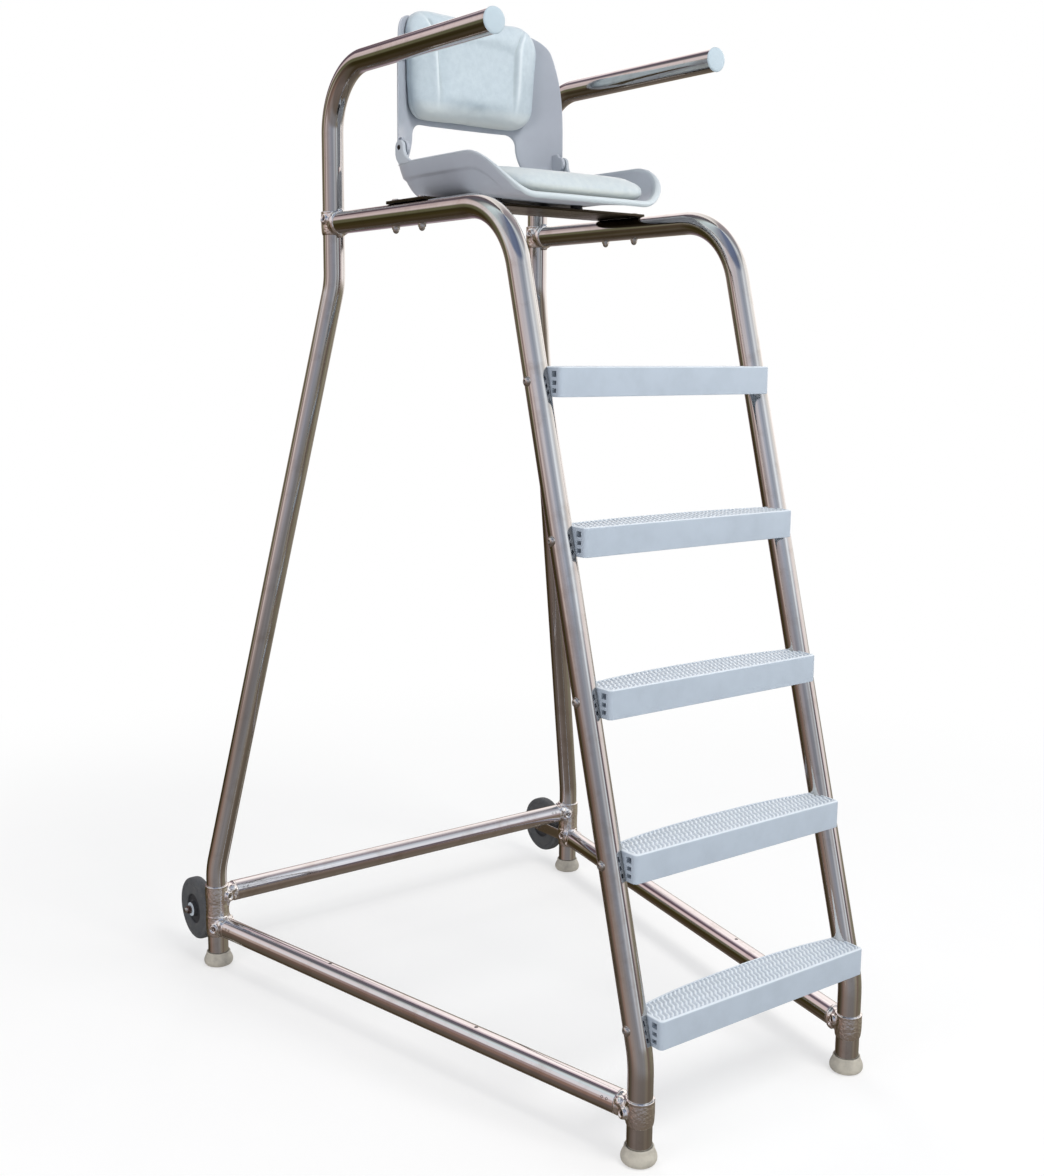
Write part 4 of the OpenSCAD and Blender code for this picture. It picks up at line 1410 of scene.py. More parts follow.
    def build(self) -> None:
        """Makes the braces, the castings and their screws."""
        a = self.at
        rear, front = self.brace_line()
        run = front - rear
        turn = math.atan2(run.y, run.x)
        for side, sign in SIDES:
            self.brace(f"{side}_side_brace_tube", flipped(rear, sign), flipped(front, sign),
                       True, f"{side}_side_brace")
        corner = Vector((-a.rear_x, a.y_rear, a.cross_h))
        self.brace("rear_cross_brace_tube", corner, flipped(corner, -1), False,
                   "rear_cross_brace")

        rail, rail_screws = self.placed(self.rail_parts(), turned(
            (-a.half_w, a.y_post, a.rail_h), -math.pi / 2))
        tee, front_screws = self.placed(self.tee_parts(1), turned(front, turn + math.pi))
        low, low_screws = self.placed(self.tee_parts(-1), turned(rear, turn))
        high, high_screws = self.placed(self.tee_parts(-1), turned(corner))
        web = Shape().add(self.web(), turned(rear, turn / 2))
        start, end = self.sleeve_l / 2 - 3, a.cross_h - a.brace_h - self.sleeve_l / 2 + 5
        link_r = a.tee_r - 0.9
        between = Shape().lathe([(0, start), (link_r, start), (link_r, end), (0, end)], 72,
                                turned(rear))
        castings = [(name, self.fused(name, parts), nodes) for name, parts, nodes in (
            ("rail_casting", rail, ["rail_tee"]),
            ("front_casting", tee, ["front_tee"]),
            ("rear_casting", [*low, *high, web, between], ["rear_tee", "cross_tee"]))]

        d = run.normalized()
        out = Vector((d.y, -d.x, 0))
        out = out if out.x < 0 else -out
        pins = [(base + way * gap + axis.normalized() * a.tube_r, axis.normalized())
                for base, way, axis in ((front, -d, out + Vector((0, 0, 0.45))),
                                        (rear, d, out + Vector((0, 0, 0.45))),
                                        (corner, Vector((1, 0, 0)), Vector((0, -1, 0.5))))
                for gap in self.pin_gaps]

        for side, sign in SIDES:
            for name, mesh, nodes in castings:
                made = pruned(mesh.copy() if sign > 0 else mirror_mesh(mesh, name))
                made.name = f"{side}_{name}"
                piece(f"{side}_{name}", made, "frame", "cast_fitting", CASTING,
                      [f"{side}_{n}" for n in nodes])
            for name, shape, spots in (
                    ("casting_screws", self.socket_screw(),
                     rail_screws + front_screws + low_screws + high_screws),
                    ("brace_set_screws", self.set_screw(), pins)):
                Studs.at(f"{side}_{name}", shape,
                         [(flipped(p, sign), flipped(v, sign)) for p, v in spots], SCREW)


# ---- feet and wheels -----------------------------------------------------


@dataclass
class Feet:
    """Four moulded feet pushed on the legs' ends."""

    top_r: float = 28.4
    bottom_r: float = 34.45
    height: float = 33

    def shape(self, x: float, y: float) -> Shape:
        """One foot: a rounded sole, a flared skirt and a rolled collar.

        Args:
            x: where the leg's axis is across the chair.
            y: and along it.

        Returns:
            The foot, on the floor.
        """
        r0, r1, h = self.bottom_r, self.top_r, self.height
        profile = [(0, 0.6), (r0 - 15, 0.6), (r0 - 13, 0), (r0 - 10, 0), (r0 - 6.4, 0.5),
                   (r0 - 3.6, 1.9), (r0 - 1.6, 4.2), (r0 - 0.4, 7.4), (r0, 11), (r0 - 0.4, 14.4),
                   (r0 - 1.5, 17.8), (r0 - 3.1, 21.2), (r1 + 0.8, 25), (r1 + 0.2, 28),
                   (r1, 30.4), (r1 - 0.5, h - 0.8), (r1 - 1.4, h), (r1 - 2.6, h),
                   (r1 - 3.4, h - 1.0), (r1 - 4.2, h - 1.6), (0, h - 1.6)]
        return Shape().lathe(profile, 64, Matrix.Translation((x, y, 0)))

    def build(self) -> None:
        """Makes the four feet where the frame has them."""
        for name in ("front_left_foot", "front_right_foot", "rear_left_foot", "rear_right_foot"):
            spot = middle(name)
            piece(name + "_moulding", self.shape(spot.x, spot.y).mesh(name), "frame",
                  "foot_rubber", FOOT, [name])


@dataclass
class Wheels:
    """The two wheels behind the rear legs, with their bars, axles and nuts."""

    at: Places
    axle_r: float = 6
    hub_half: float = 18.5
    bar_t: float = 6
    bar_h: float = 30
    washer_r: float = 17
    tyre_half: float = 14

    def wheel(self) -> Shape:
        """A wheel turned about X: hub, dished web with a ring groove, and rounded tyre."""
        low, high = corners("left_wheel")
        centre = (low + high) / 2
        r = (high.z - low.z) / 2
        half, hub, bore = self.tyre_half, self.hub_half, self.axle_r + 0.05
        side = [(bore, hub), (bore + 10.5, hub), (bore + 12, hub - 1.2),
                (bore + 13, half - 4.4), (bore + 14.4, half - 5.6), (33, half - 6.0),
                (35, half - 5.2), (36, half - 1.4), (37.4, half - 0.2), (39, half),
                (r - 15, half), (r - 14.2, half - 0.8), (r - 13, half - 0.8), (r - 12.2, half),
                (r - 6.5, half), (r - 3.6, half - 0.8), (r - 1.5, half - 2.6),
                (r - 0.35, half - 5.4), (r, half - 9), (r, 0.7), (r - 0.35, 0.25), (r - 0.35, 0)]
        profile = side + [(q, -w) for q, w in reversed(side[:-1])]
        return Shape().lathe(profile, 96, axes_at(centre, (1, 0, 0)), True)

    def bar(self) -> Shape:
        """The flat bar from the lower casting to the axle."""
        low = corners("left_wheel_bar")[0]
        centre = middle("left_wheel")
        h = self.bar_h / 2
        loop = [(low.y - 3, centre.z - h), *arc(centre.y, centre.z, h, -90, 180, 16),
                (low.y - 3, centre.z + h)]
        return panel(loop, self.bar_t, 1.0, 9, lambda u, v, w: (low.x + self.bar_t - w, u, v))

    def hexed(self, r: float, t: float, chamfer: float, at: Matrix) -> Shape:
        """A six-sided nut or head, its corners turned down at both ends."""
        flat = r * math.cos(math.pi / 6)
        return Shape().lathe([(0, 0), (flat, 0), (r, chamfer), (r, t - chamfer), (flat, t),
                              (0, t)], 6, at)

    def axle(self) -> Shape:
        """The axle bolt: head inside the bar, threaded tip outside the nut."""
        low, high = corners("left_axle")
        spot = middle("left_wheel")
        length = high.x - low.x - 7
        head = self.hexed(self.axle_r * 1.85, 7, 1.4, axes_at(
            (high.x - 7, spot.y, spot.z), (1, 0, 0)))
        r = self.axle_r
        profile = [(0, 0), (r, 0), (r, length - 18)]
        z, thread = length - 18, 1.5
        while z < length - 2:
            profile += [(r - 0.55, z + thread / 2), (r, z + thread)]
            z += thread
        profile += [(r - 1.2, length), (0, length)]
        return head.lathe(profile, 28, axes_at((high.x - 6.5, spot.y, spot.z), (-1, 0, 0)))

    def nut(self) -> Shape:
        """The nut outside the washer."""
        low, high = corners("left_axle_nut")
        spot = middle("left_wheel")
        at = axes_at((high.x, spot.y, spot.z), (-1, 0, 0)) @ Matrix.Translation((0, 0, 2))
        return self.hexed(self.axle_r * 1.7, high.x - low.x - 2, 1.5, at)

    def washer(self) -> Shape:
        """The pale washer between the nut and the hub."""
        high, spot = corners("left_axle_nut")[1], middle("left_wheel")
        w, bore = self.washer_r, self.axle_r - 0.4
        return Shape().lathe([
            (bore, 0), (w - 0.5, 0), (w, 0.4), (w, 1.6), (w - 0.8, 2.2), (w - 2.6, 2.4),
            (bore + 4, 2.0), (bore, 2.0)], 56, axes_at((high.x, spot.y, spot.z), (-1, 0, 0)),
            True)

    def build(self) -> None:
        """Makes both wheels and what holds them."""
        for side in ("left", "right"):
            for name, shape, body, slot, finish, node in (
                    ("wheel_turned", self.wheel(), f"{side}_wheel", "wheel_rubber", TYRE, "wheel"),
                    ("wheel_flat_bar", self.bar(), "frame", "polished_tube", WHEEL_BAR,
                     "wheel_bar"),
                    ("wheel_axle_bolt", self.axle(), "frame", "hardware", BOLT, "axle"),
                    ("wheel_washer", self.washer(), "frame", "hardware", NYLON, ""),
                    ("wheel_nut", self.nut(), "frame", "hardware", NUT, "axle_nut")):
                shape = shape if side == "left" else shape.mirrored()
                mesh = shape.mesh(f"{side}_{name}", 32)
                if finish is TYRE:
                    self.mark_web(mesh)
                piece(f"{side}_{name}", mesh, body, slot, finish,
                      [f"{side}_{node}"] if node else [])

    def mark_web(self, mesh: Mesh) -> None:
        """Stores where a wheel's sunken web is, which is darkened as painted shade.

        Args:
            mesh: the left wheel, or its mirror image.
        """
        spot = middle("left_wheel")
        store(mesh, "shade_and_grime", [
            smooth((37 - math.hypot(v.co.y / MM - spot.y, v.co.z / MM - spot.z)) / 2)
            for v in mesh.vertices])


# ---- treads --------------------------------------------------------------


@dataclass
class Treads:
    """Five moulded treads and the bolts through the legs that hold them."""

    at: Places
    height: float = 56
    front: float = 55
    back: float = 40
    taper: float = 22
    wrap: float = 12
    wall: float = 4
    rib_t: float = 3
    corner: float = 8
    border: float = 5.5
    sunk: float = 1.9          # the ribbed field lies this far under the border
    rib_pitch: float = 9.6
    rib_lean: float = 27.0     # the ribs' turn from the chair's front-to-back line, in degrees
    rib_r: float = 2.7
    rib_wave: float = 1.6
    rib_wave_l: float = 24.0
    bolt_r: float = 5
    fit: float = 0.1
    count: int = 5

    def outline(self, inset: float, steps: int = 8) -> list[POINT2]:
        """Plan of a tread, its bolt's axis at y = 0.

        Args:
            inset: how far inside the tread's edge the outline runs.
            steps: steps round each front corner.

        Returns:
            The outline, anticlockwise.
        """
        half = self.at.half_w - self.wrap - inset
        y0, y1, c = -self.front + inset, self.back - inset, self.corner
        loop = arc(half - c, y0 + c, c, 270, 90, steps)
        n = 26
        for k in range(2 * n + 1):
            x = half * (1 - k / n)
            loop.append((x, y1 - self.taper * (abs(x) / half) ** 2.4))
        return loop + arc(c - half, y0 + c, c, 180, 90, steps)

    def skin(self) -> Shape:
        """The moulded box, open underneath, with a rolled top edge and a sunken field."""
        h, w = self.height / 2, self.wall
        r = 3.2
        rings = [[(x, y, -h) for x, y in self.outline(0.9)],
                 [(x, y, -h + 0.9) for x, y in self.outline(0)]]
        for k in range(6):
            a = math.pi / 2 * k / 5
            rings.append([(x, y, h - r * (1 - math.sin(a)))
                          for x, y in self.outline(r * (1 - math.cos(a)))])
        b = self.border
        rings.append([(x, y, h) for x, y in self.outline(b - 0.3)])
        rings.append([(x, y, h - self.sunk) for x, y in self.outline(b + 0.3)])
        inner = [[(x, y, -h) for x, y in self.outline(w - 0.6)],
                 [(x, y, -h + 0.8) for x, y in self.outline(w)],
                 [(x, y, h - w) for x, y in self.outline(w)]]
        return Shape().loft([*reversed(inner), *rings])

    def leg(self, sign: int, r: float) -> Shape:
        """The leg beside the tread, as a leaning bar.

        Args:
            sign: 1 for the right leg, -1 for the left.
            r: the bar's radius.

        Returns:
            The bar.
        """
        run = Vector((0, self.height * LADDER_LEAN, self.height))
        start = Vector((sign * self.at.half_w, 0, 0)) - run
        return Shape().lathe([(0, 0), (r, 0), (r, 2 * run.length), (0, 2 * run.length)], 64,
                             axes_at(start, run))

    def underside(self) -> Mesh:
        """The ribs, bosses and pocket walls inside the box, trimmed to it."""
        h = self.height / 2
        parts = Shape()
        half = self.at.half_w - self.wrap
        drop = 8
        parts.box((-half, -self.rib_t / 2, -h + drop), (half, self.rib_t / 2, h - 1.9))
        for k in range(-2, 3):
            x = k * half / 3
            parts.box((x - self.rib_t / 2 + 0.01, -self.front, -h + drop + 0.01),
                      (x + self.rib_t / 2, self.back, h - 1.8))
        core = Shape().loft([[(x, y, -h + 0.05) for x, y in self.outline(1.2)],
                             [(x, y, h - 2) for x, y in self.outline(1.2)]])
        tools = [("UNION", self.leg(s, self.at.tube_r + self.fit + self.wall).mesh("pocket"))
                 for s in (-1, 1)]
        tools.append(("INTERSECT", core.mesh("core")))
        return combined(parts.mesh("inside_ribs"), tools)

    def field_ribs_tree(self) -> NodeTree:
        """The tree: wavy ribs in a slanting row, trimmed to the field that it is given."""
        tree, given = new_tree("tread_ribs", {"Count": "Int", **dict.fromkeys((
            "Pitch", "Lean", "Length", "Radius", "Wave", "Wave Length", "Height"), "Float")})
        line = add_node(tree, "GeometryNodeCurvePrimitiveLine", {"mode": "POINTS"}, {
            "Start": vector(tree, Y=maths(tree, "MULTIPLY", given["Length"], -0.5)),
            "End": vector(tree, Y=maths(tree, "MULTIPLY", given["Length"], 0.5))})
        dense = add_node(tree, "GeometryNodeResampleCurve", None, {"Curve": line, "Count": 46})
        spot = add_node(tree, "ShaderNodeSeparateXYZ", None, {
            0: add_node(tree, "GeometryNodeInputPosition")})
        turns = maths(tree, "DIVIDE", spot.outputs["Y"], given["Wave Length"])
        wave = maths(tree, "SINE", maths(tree, "MULTIPLY", turns, math.tau))
        waved = add_node(tree, "GeometryNodeSetPosition", None, {
            "Geometry": dense,
            "Offset": vector(tree, X=maths(tree, "MULTIPLY", wave, given["Wave"]))})
        ring = add_node(tree, "GeometryNodeCurvePrimitiveCircle", {"mode": "RADIUS"}, {
            "Resolution": 14, "Radius": given["Radius"]})
        rib = add_node(tree, "GeometryNodeCurveToMesh", None, {
            "Curve": waved, "Profile Curve": ring, "Fill Caps": True})
        span = maths(tree, "MULTIPLY", given["Pitch"], given["Count"])
        row = add_node(tree, "GeometryNodeMeshLine", {"mode": "OFFSET"}, {
            "Count": given["Count"], "Offset": vector(tree, X=given["Pitch"]),
            "Start Location": vector(tree, X=maths(tree, "MULTIPLY", span, -0.5),
                                     Z=given["Height"])})
        spin = add_node(tree, "FunctionNodeEulerToRotation", None, {
            "Euler": vector(tree, Z=given["Lean"])})
        set_out = add_node(tree, "GeometryNodeInstanceOnPoints", None, {
            "Points": row, "Instance": rib, "Rotation": spin})
        real = add_node(tree, "GeometryNodeRealizeInstances", None, {"Geometry": set_out})
        trimmed = add_node(tree, "GeometryNodeMeshBoolean", {
            "operation": "INTERSECT", "solver": "EXACT"}, {"Mesh 2": [given["Geometry"], real]})
        end_tree(tree, trimmed, given["Finish"])
        return tree

    def field_ribs(self) -> Mesh:
        """The slanting ribs on a tread's top."""
        h = self.height / 2
        inset = self.border + 0.6
        field_block = Shape().loft([
            [(x, y, h - self.sunk - 0.4) for x, y in self.outline(inset)],
            [(x, y, h - 0.05) for x, y in self.outline(inset)]]).mesh("field")
        lean = math.radians(self.rib_lean)
        pitch = self.rib_pitch / math.cos(lean)
        count = int((2 * self.at.half_w + 80) / pitch)
        return grown(field_block, self.field_ribs_tree(), {
            "Count": count, "Pitch": pitch * MM, "Lean": -lean, "Length": 150 * MM,
            "Radius": self.rib_r * MM, "Wave": self.rib_wave * MM,
            "Wave Length": self.rib_wave_l * MM, "Height": (h - self.rib_r - 0.1) * MM,
            "Finish": TREAD.material()}, "tread_ribs")

    def one(self) -> Mesh:
        """A whole tread about its bolt's axis."""
        tools: list[tuple[str, Mesh]] = [("UNION", self.underside())]
        half, h = self.at.half_w - self.wrap, self.height / 2
        for s in (-1, 1):
            ends = sorted((s * (half - 27), s * (half - 2)))
            block = Shape().box((ends[0], 3 - self.front, 3 - h),
                                (ends[1], 28 - self.front, h - 3))
            tools.append(("UNION", block.mesh("window_cells")))
        for s in (-1, 1):
            boss = Shape().lathe([(0, 0), (self.bolt_r + 5, 0), (self.bolt_r + 5, 25), (0, 25)],
                                 32, axes_at((s * (self.at.half_w - self.at.tube_r - 1), 0, 0),
                                             (-s, 0, 0)))
            tools.append(("UNION", boss.mesh("boss")))
        for s in (-1, 1):
            tools.append(("DIFFERENCE", self.leg(s, self.at.tube_r + self.fit).mesh("leg")))
            windows = Shape()
            for k, (wide, tall) in enumerate(((12, 8), (12, 8), (13.5, 11))):
                z = (-16, -1.5, 14.5)[k]
                x = s * half
                windows.box((min(x - s * 22, x + s * 2), 12 - self.front, z - tall / 2),
                            (max(x - s * 22, x + s * 2), 12 - self.front + wide, z + tall / 2))
            tools.append(("DIFFERENCE", windows.mesh("windows")))
        body = combined(self.skin().mesh("tread"), tools)
        bm = bmesh.new()
        bm.from_mesh(pruned(body))
        cast = len(bm.verts)
        bm.from_mesh(pruned(self.field_ribs()))
        bm.to_mesh(body)
        bm.free()
        self.mark(body, cast)
        return shade(body, 33)

    def mark(self, mesh: Mesh, cast: int) -> None:
        """Stores where the tread has a painted highlight, on its top edge and ribs, and where it
        is darker: grime on the sunken field and painted shade in the window cells.

        Args:
            mesh: the tread about its bolt's axis.
            cast: how many of its points come before the ribs' own.
        """
        h, half = self.height / 2, self.at.half_w - self.wrap
        pale, shaded_and_grimy = [], []
        for k, v in enumerate(mesh.vertices):
            x, y, z = (c / MM for c in v.co)
            rim = smooth((z - h + 2.4) / 1.6)
            floor = float(abs(z - h + self.sunk) < 0.05)
            cell = float(half - 26 < abs(x) < half - 1.2 and y < 27 - self.front
                         and y > 4 - self.front and abs(z) < h - 3.5)
            # a painted highlight on the top edge and ribs; grime on the sunken field, painted
            # shade in the window cells
            pale.append(0.85 if k >= cast else 0.8 * rim * (1 - floor))
            shaded_and_grimy.append(0.0 if k >= cast else max(0.75 * floor, cell))
        store(mesh, "painted_highlight", pale)
        store(mesh, "shade_and_grime", shaded_and_grimy)

    def bolt(self) -> Shape:
        """A button-head bolt, seen from its head, with a socket and a thin washer."""
        r = self.bolt_r * 1.7
        return Shape().lathe([
            (0, -2), (r + 1.5, -2), (r + 1.5, 0.9), (r + 1.1, 1.2), (r, 1.2), (r - 0.3, 2.2),
            (r * 0.86, 3.6), (r * 0.62, 4.9), (r * 0.42, 5.4), (r * 0.36, 5.2), (r * 0.34, 3.2),
            (0, 3.2)], 36)

    def build(self) -> None:
        """Makes the five treads and ten bolts."""
        tread = self.one()
        heads: dict[str, SPOTS] = {"left": [], "right": []}
        for k in range(1, self.count + 1):
            low, high = corners(f"step_{k}")
            spot = Vector((0, low.y + self.front, (low.z + high.z) / 2))
            mesh = tread.copy()
            mesh.transform(Matrix.Translation(spot * MM))
            mesh.name = f"tread_{k}"
            piece(f"tread_{k}", mesh, "frame", "tread_plastic", TREAD, [f"step_{k}"])
            for side, s in (("left", -1), ("right", 1)):
                heads[side].append((spot + Vector((s * (self.at.half_w + self.at.tube_r - 0.4),
                                                   0, 0)), Vector((s, 0, 0))))
        for side, spots in heads.items():
            Studs.at(f"{side}_tread_bolts", self.bolt(), spots, BOLT, [f"{side}_step_bolts"],
                     seed=11)


# ---- seat ----------------------------------------------------------------


@dataclass
class SeatBase:
    """The steel plate across the rails, its bolts, and the rubber spacers on it."""

    at: Places
    bolt_r: float = 4.75
    bolt_edge: float = 25

    def plate(self) -> Shape:
        """The plate with its edges eased and its corners rounded."""
        low, high = corners("seat_plate")
        loop = rounded([(low.x, low.y), (high.x, low.y), (high.x, high.y), (low.x, high.y)],
                       [7, 7, 7, 7])
        t = high.z - low.z
        return panel(loop, t, 0.8, 30, lambda u, v, w: (u, v, high.z - w))

    def head(self) -> Shape:
        """A dished bolt head with a socket, on a washer."""
        r = self.bolt_r * 1.9
        return Shape().lathe([
            (0, -1), (r, -1), (r, 1.0), (r - 0.6, 1.4), (r - 1.2, 1.4), (r - 1.5, 2.6),
            (r - 3.6, 3.9), (2.6, 4.0), (2.4, 2.2), (0, 2.2)], 32)

    def dome_nut(self) -> Shape:
        """A dome nut on a saddle washer, hanging under the rail."""
        r = self.bolt_r * 1.9
        shape = Shape().lathe([(0, -3), (r, -3), (r, 0.8), (r - 0.5, 1.2), (0, 1.2)], 32)
        hexed = [(r - 0.6, 1.2), (r - 0.6, 4.6), (r - 1.4, 5.2)]
        shape.lathe([(0, 1), *hexed, (0, 5.2)], 6)
        dome = [(r - 2.2, 5.0)] + [((r - 2.2) * math.cos(a), 5.4 + (r - 1.0) * math.sin(a))
                                   for a in (math.pi / 2 * k / 8 for k in range(8))]
        return shape.lathe([(0, 5.0), *dome, (0, 5.4 + r - 1.0)], 32)

    def spacer(self) -> Shape:
        """A rubber spacer with eased rims and a moulded waist."""
        low, high = corners("seat_spacers")
        t = high.z - low.z
        r = 14.0
        return Shape().lathe([(0, 0), (r - 0.8, 0), (r, 0.8), (r, t * 0.3), (r - 1.1, t * 0.42),
                              (r - 1.1, t * 0.58), (r, t * 0.7), (r, t - 0.8), (r - 0.8, t),
                              (0, t)], 36)

    def build(self) -> None:
        """Makes the plate, bolts and spacers."""
        low, high = corners("seat_plate")
        piece("seat_plate_sheet", self.plate().mesh("seat_plate_sheet"), "frame", "plate_steel",
              SHADED_PLATE, ["seat_plate"])
        mid, half = (low.y + high.y) / 2, (high.y - low.y) / 2 - self.bolt_edge
        spots = [(sx * self.at.half_w, mid + sy * half) for sx in (-1, 1) for sy in (-1, 1)]
        tops = [(Vector((x, y, high.z)), Vector((0, 0, 1))) for x, y in spots]
        unders = [(Vector((x, y, self.at.rail_h - self.at.tube_r + 0.6)), Vector((0, 0, -1)))
                  for x, y in spots]
        Studs.at("plate_bolt_heads", self.head(), tops, BOLT, ["plate_bolts"])
        Studs.at("plate_dome_nuts", self.dome_nut(), unders, BOLT)
        s_low, s_high = corners("seat_spacers")
        rests = [(Vector((x, y, s_low.z)), Vector((0, 0, 1)))
                 for x in (s_low.x + 14, s_high.x - 14) for y in (s_low.y + 14, s_high.y - 14)]
        Studs.at("seat_rubber_spacers", self.spacer(), rests, SPACER, ["seat_spacers"],
                 slot="spacer_rubber")


@dataclass
class SeatPan:
    """The moulded seat pan: a bowl with level wings and a low, rolled front edge."""

    wall: float = 6
    curve: float = 90          # how far in from the rim the curved side reaches
    wing_h: float = 81
    front_h: float = 5
    front_fall: float = 128
    front_sweep: float = 86
    front_hang: float = 10     # how far the front edge hangs below the flat of the pan
    back_rise: float = 10
    back_rise_run: float = 75
    band: float = 34           # height of the proud band under the rim
    band_step: float = 4.0
    ear_r: float = 16
    ear_t: float = 8
    turns: int = 208
    wall_line: tuple[POINT2, ...] = (
        (1, 0), (0.68, 0.02), (0.44, 0.11), (0.26, 0.28), (0.12, 0.56), (0.04, 0.82), (0, 1))
    width: float = field(init=False)
    depth: float = field(init=False)
    mid_y: float = field(init=False)
    base_z: float = field(init=False)

    def __post_init__(self) -> None:
        """Reads the pan's plan size and base from the frame."""
        low, high = corners("seat_pan")
        self.width, self.depth = high.x - low.x, high.y - low.y
        self.mid_y, self.base_z = (low.y + high.y) / 2, low.z

    @staticmethod
    def squared(a: float, half_x: float, half_y: float, n: float | None = None) -> POINT2:
        """A point of a squared outline at angle a, squarer in front than behind."""
        n = n or (6 if math.sin(a) < 0 else 3.5)
        return (half_x * signed_power(math.cos(a), 2 / n),
                half_y * signed_power(math.sin(a), 2 / n))

    def plan(self, a: float, inset: float) -> POINT2:
        """A point of the pan's outline at angle a."""
        return self.squared(a, self.width / 2 - inset, self.depth / 2 - inset)

    def rim_beside(self, x: float, y: float) -> tuple[float, float, float]:
        """Where the rim is that a point of the wall belongs to.

        Args:
            x: the point's place across the pan, from its middle.
            y: and along it.

        Returns:
            The x and y of a place just inside the rim, and how far in from it the point is.
        """
        n = 6 if y < 0 else 3.5
        u, w = abs(x) / (self.width / 2), abs(y) / (self.depth / 2)
        reach = (u ** n + w ** n) ** (1 / n)
        ex, ey = x / max(reach, 1e-3), y / max(reach, 1e-3)
        return ex * 0.97, ey * 0.97, (1 - reach) * math.hypot(ex, ey)

    def fall(self, x: float, y: float) -> float:
        """How far the rim has fallen from the wings to the front edge, from 0 to 1."""
        lead = self.front_fall - self.depth / 2
        run = max(0.0, lead - y) + self.width / 2 - abs(x)
        return smooth(run / (self.front_fall + self.front_sweep)) if y < lead else 0.0

    def hang(self, x: float, y: float) -> float:
        """How far the pan hangs at a point near its front edge, between the wings."""
        return (self.front_hang * smooth((-y - 50) / 180)
                * smooth((self.width / 2 - abs(x)) / 80))

    def rim(self, x: float, y: float) -> float:
        """Height of the rim above the pan's base."""
        drop = self.fall(x, y)
        rise = smooth(1 + (y + 8 - self.depth / 2) / self.back_rise_run)
        return self.wing_h * (1 - drop) + self.front_h * drop + self.back_rise * rise

    def ladder(self, along: float) -> POINT2:
        """A point of the wall's curve.

        Args:
            along: how far up the curve, from 0 at the floor to 1 at the rim.

        Returns:
            Its share of the curve's reach in from the rim, and of the rim's height.
        """
        marks = self.wall_line
        length = [0.0]
        for (a, b), (c, d) in zip(marks, marks[1:]):
            length.append(length[-1] + math.hypot((a - c) * self.curve, (b - d) * self.wing_h))
        s = length[-1] * min(1.0, max(0.0, along))
        i = max(j for j in range(len(marks) - 1) if length[j] <= s + 1e-9)
        t = (s - length[i]) / (length[i + 1] - length[i])
        near = [marks[min(len(marks) - 1, max(0, i + j))] for j in (-1, 0, 1, 2)]
        value = []
        for axis in (0, 1):
            a, b, c, d = (q[axis] for q in near)
            value.append(b + 0.5 * t * (c - a + t * (2 * a - 5 * b + 4 * c - d
                                                     + t * (3 * (b - c) + d - a))))
        return (max(0.0, value[0]), min(1.0, max(0.0, value[1])))

    def bead(self, low: float) -> float:
        """Radius of the rolled rim, which thickens where the rim has fallen."""
        return 3.2 + 3.2 * smooth(low * 1.1)

    def outer(self, along: float, rim: float, low: float) -> POINT2:
        """Inset and height of the outer face, with its proud band under the rim.

        Args:
            along: how far up the wall's curve, from 0 to 1.
            rim: the rim's height here.
            low: how far the rim has fallen here, from 0 to 1.

        Returns:
            The inset from the pan's edge, and the height.
        """
        share, up = self.ladder(along)
        z = up * (rim - self.wall * (1 - up) * up * (1 - low))
        held = smooth((rim - 40) / 16)
        step = self.band_step * smooth(0.5 + (rim - z - self.band) / 3.0) * held
        return self.curve * share * (1 - 0.25 * low * (1 - share)) + step + 1.3 * held, z

    def section(self, a: float) -> list[POINT]:
        """The wall's section at angle a: up the outside, over the rolled rim, down the inside.

        Args:
            a: the direction from the bowl's middle, in radians.

        Returns:
            The section's points, in place.
        """
        ex, ey = self.plan(a, self.wall)
        rim = self.rim(ex, ey)
        low = self.fall(ex, ey) if ey < 0 else 0.0
        r = self.bead(low)
        centre = rim - r + 1.5 * low
        join = low * (r + 7)

        def held_end(inside: bool) -> float:
            """How far up its curve a face runs before it meets the rolled rim.

            Args:
                inside: whether the face is the inner one.

            Returns:
                How far, from 0 to 1.
            """
            lo, hi = 0.0, 1.0
            for _ in range(24):
                mid = (lo + hi) / 2
                share, up = self.ladder(mid)
                if inside:
                    met = self.wall + self.curve * share < 2 * r + 9 * low + 0.4
                    met = met or self.wall + (rim - self.wall) * up > centre + 40 * low
                else:
                    inset, z = self.outer(mid, rim, low)
                    met = inset < join or z > centre + 40 * low
                lo, hi = (lo, mid) if met else (mid, hi)
            return lo

        points: list[POINT2] = []
        end, n = held_end(False), 44
        points += [self.outer(end * k / n, rim, low) for k in range(n + 1)]
        first, last, m = -math.pi / 2 * low, math.pi * (1 - 0.17 * low), 12
        for k in range(m + 1):
            t = first + (last - first) * k / m
            points.append((r * (1 - math.cos(t)), centre + r * math.sin(t)))
        end, n = held_end(True), 26
        for k in range(n, -1, -1):
            share, up = self.ladder(end * k / n)
            points.append((self.wall + self.curve * share,
                           self.wall + (rim - self.wall) * up))
        placed = [(*self.plan(a, inset), z) for inset, z in points]
        return [(x, self.mid_y + y, self.base_z + z - self.hang(x, y)) for x, y, z in placed]

    def bowl(self) -> Shape:
        """The bowl as one closed skin."""
        angles = [math.tau * k / self.turns for k in range(self.turns)]
        sections = [self.section(a) for a in angles]
        rings = [[s[k] for s in sections] for k in range(len(sections[0]))]
        return Shape().loft(rings)

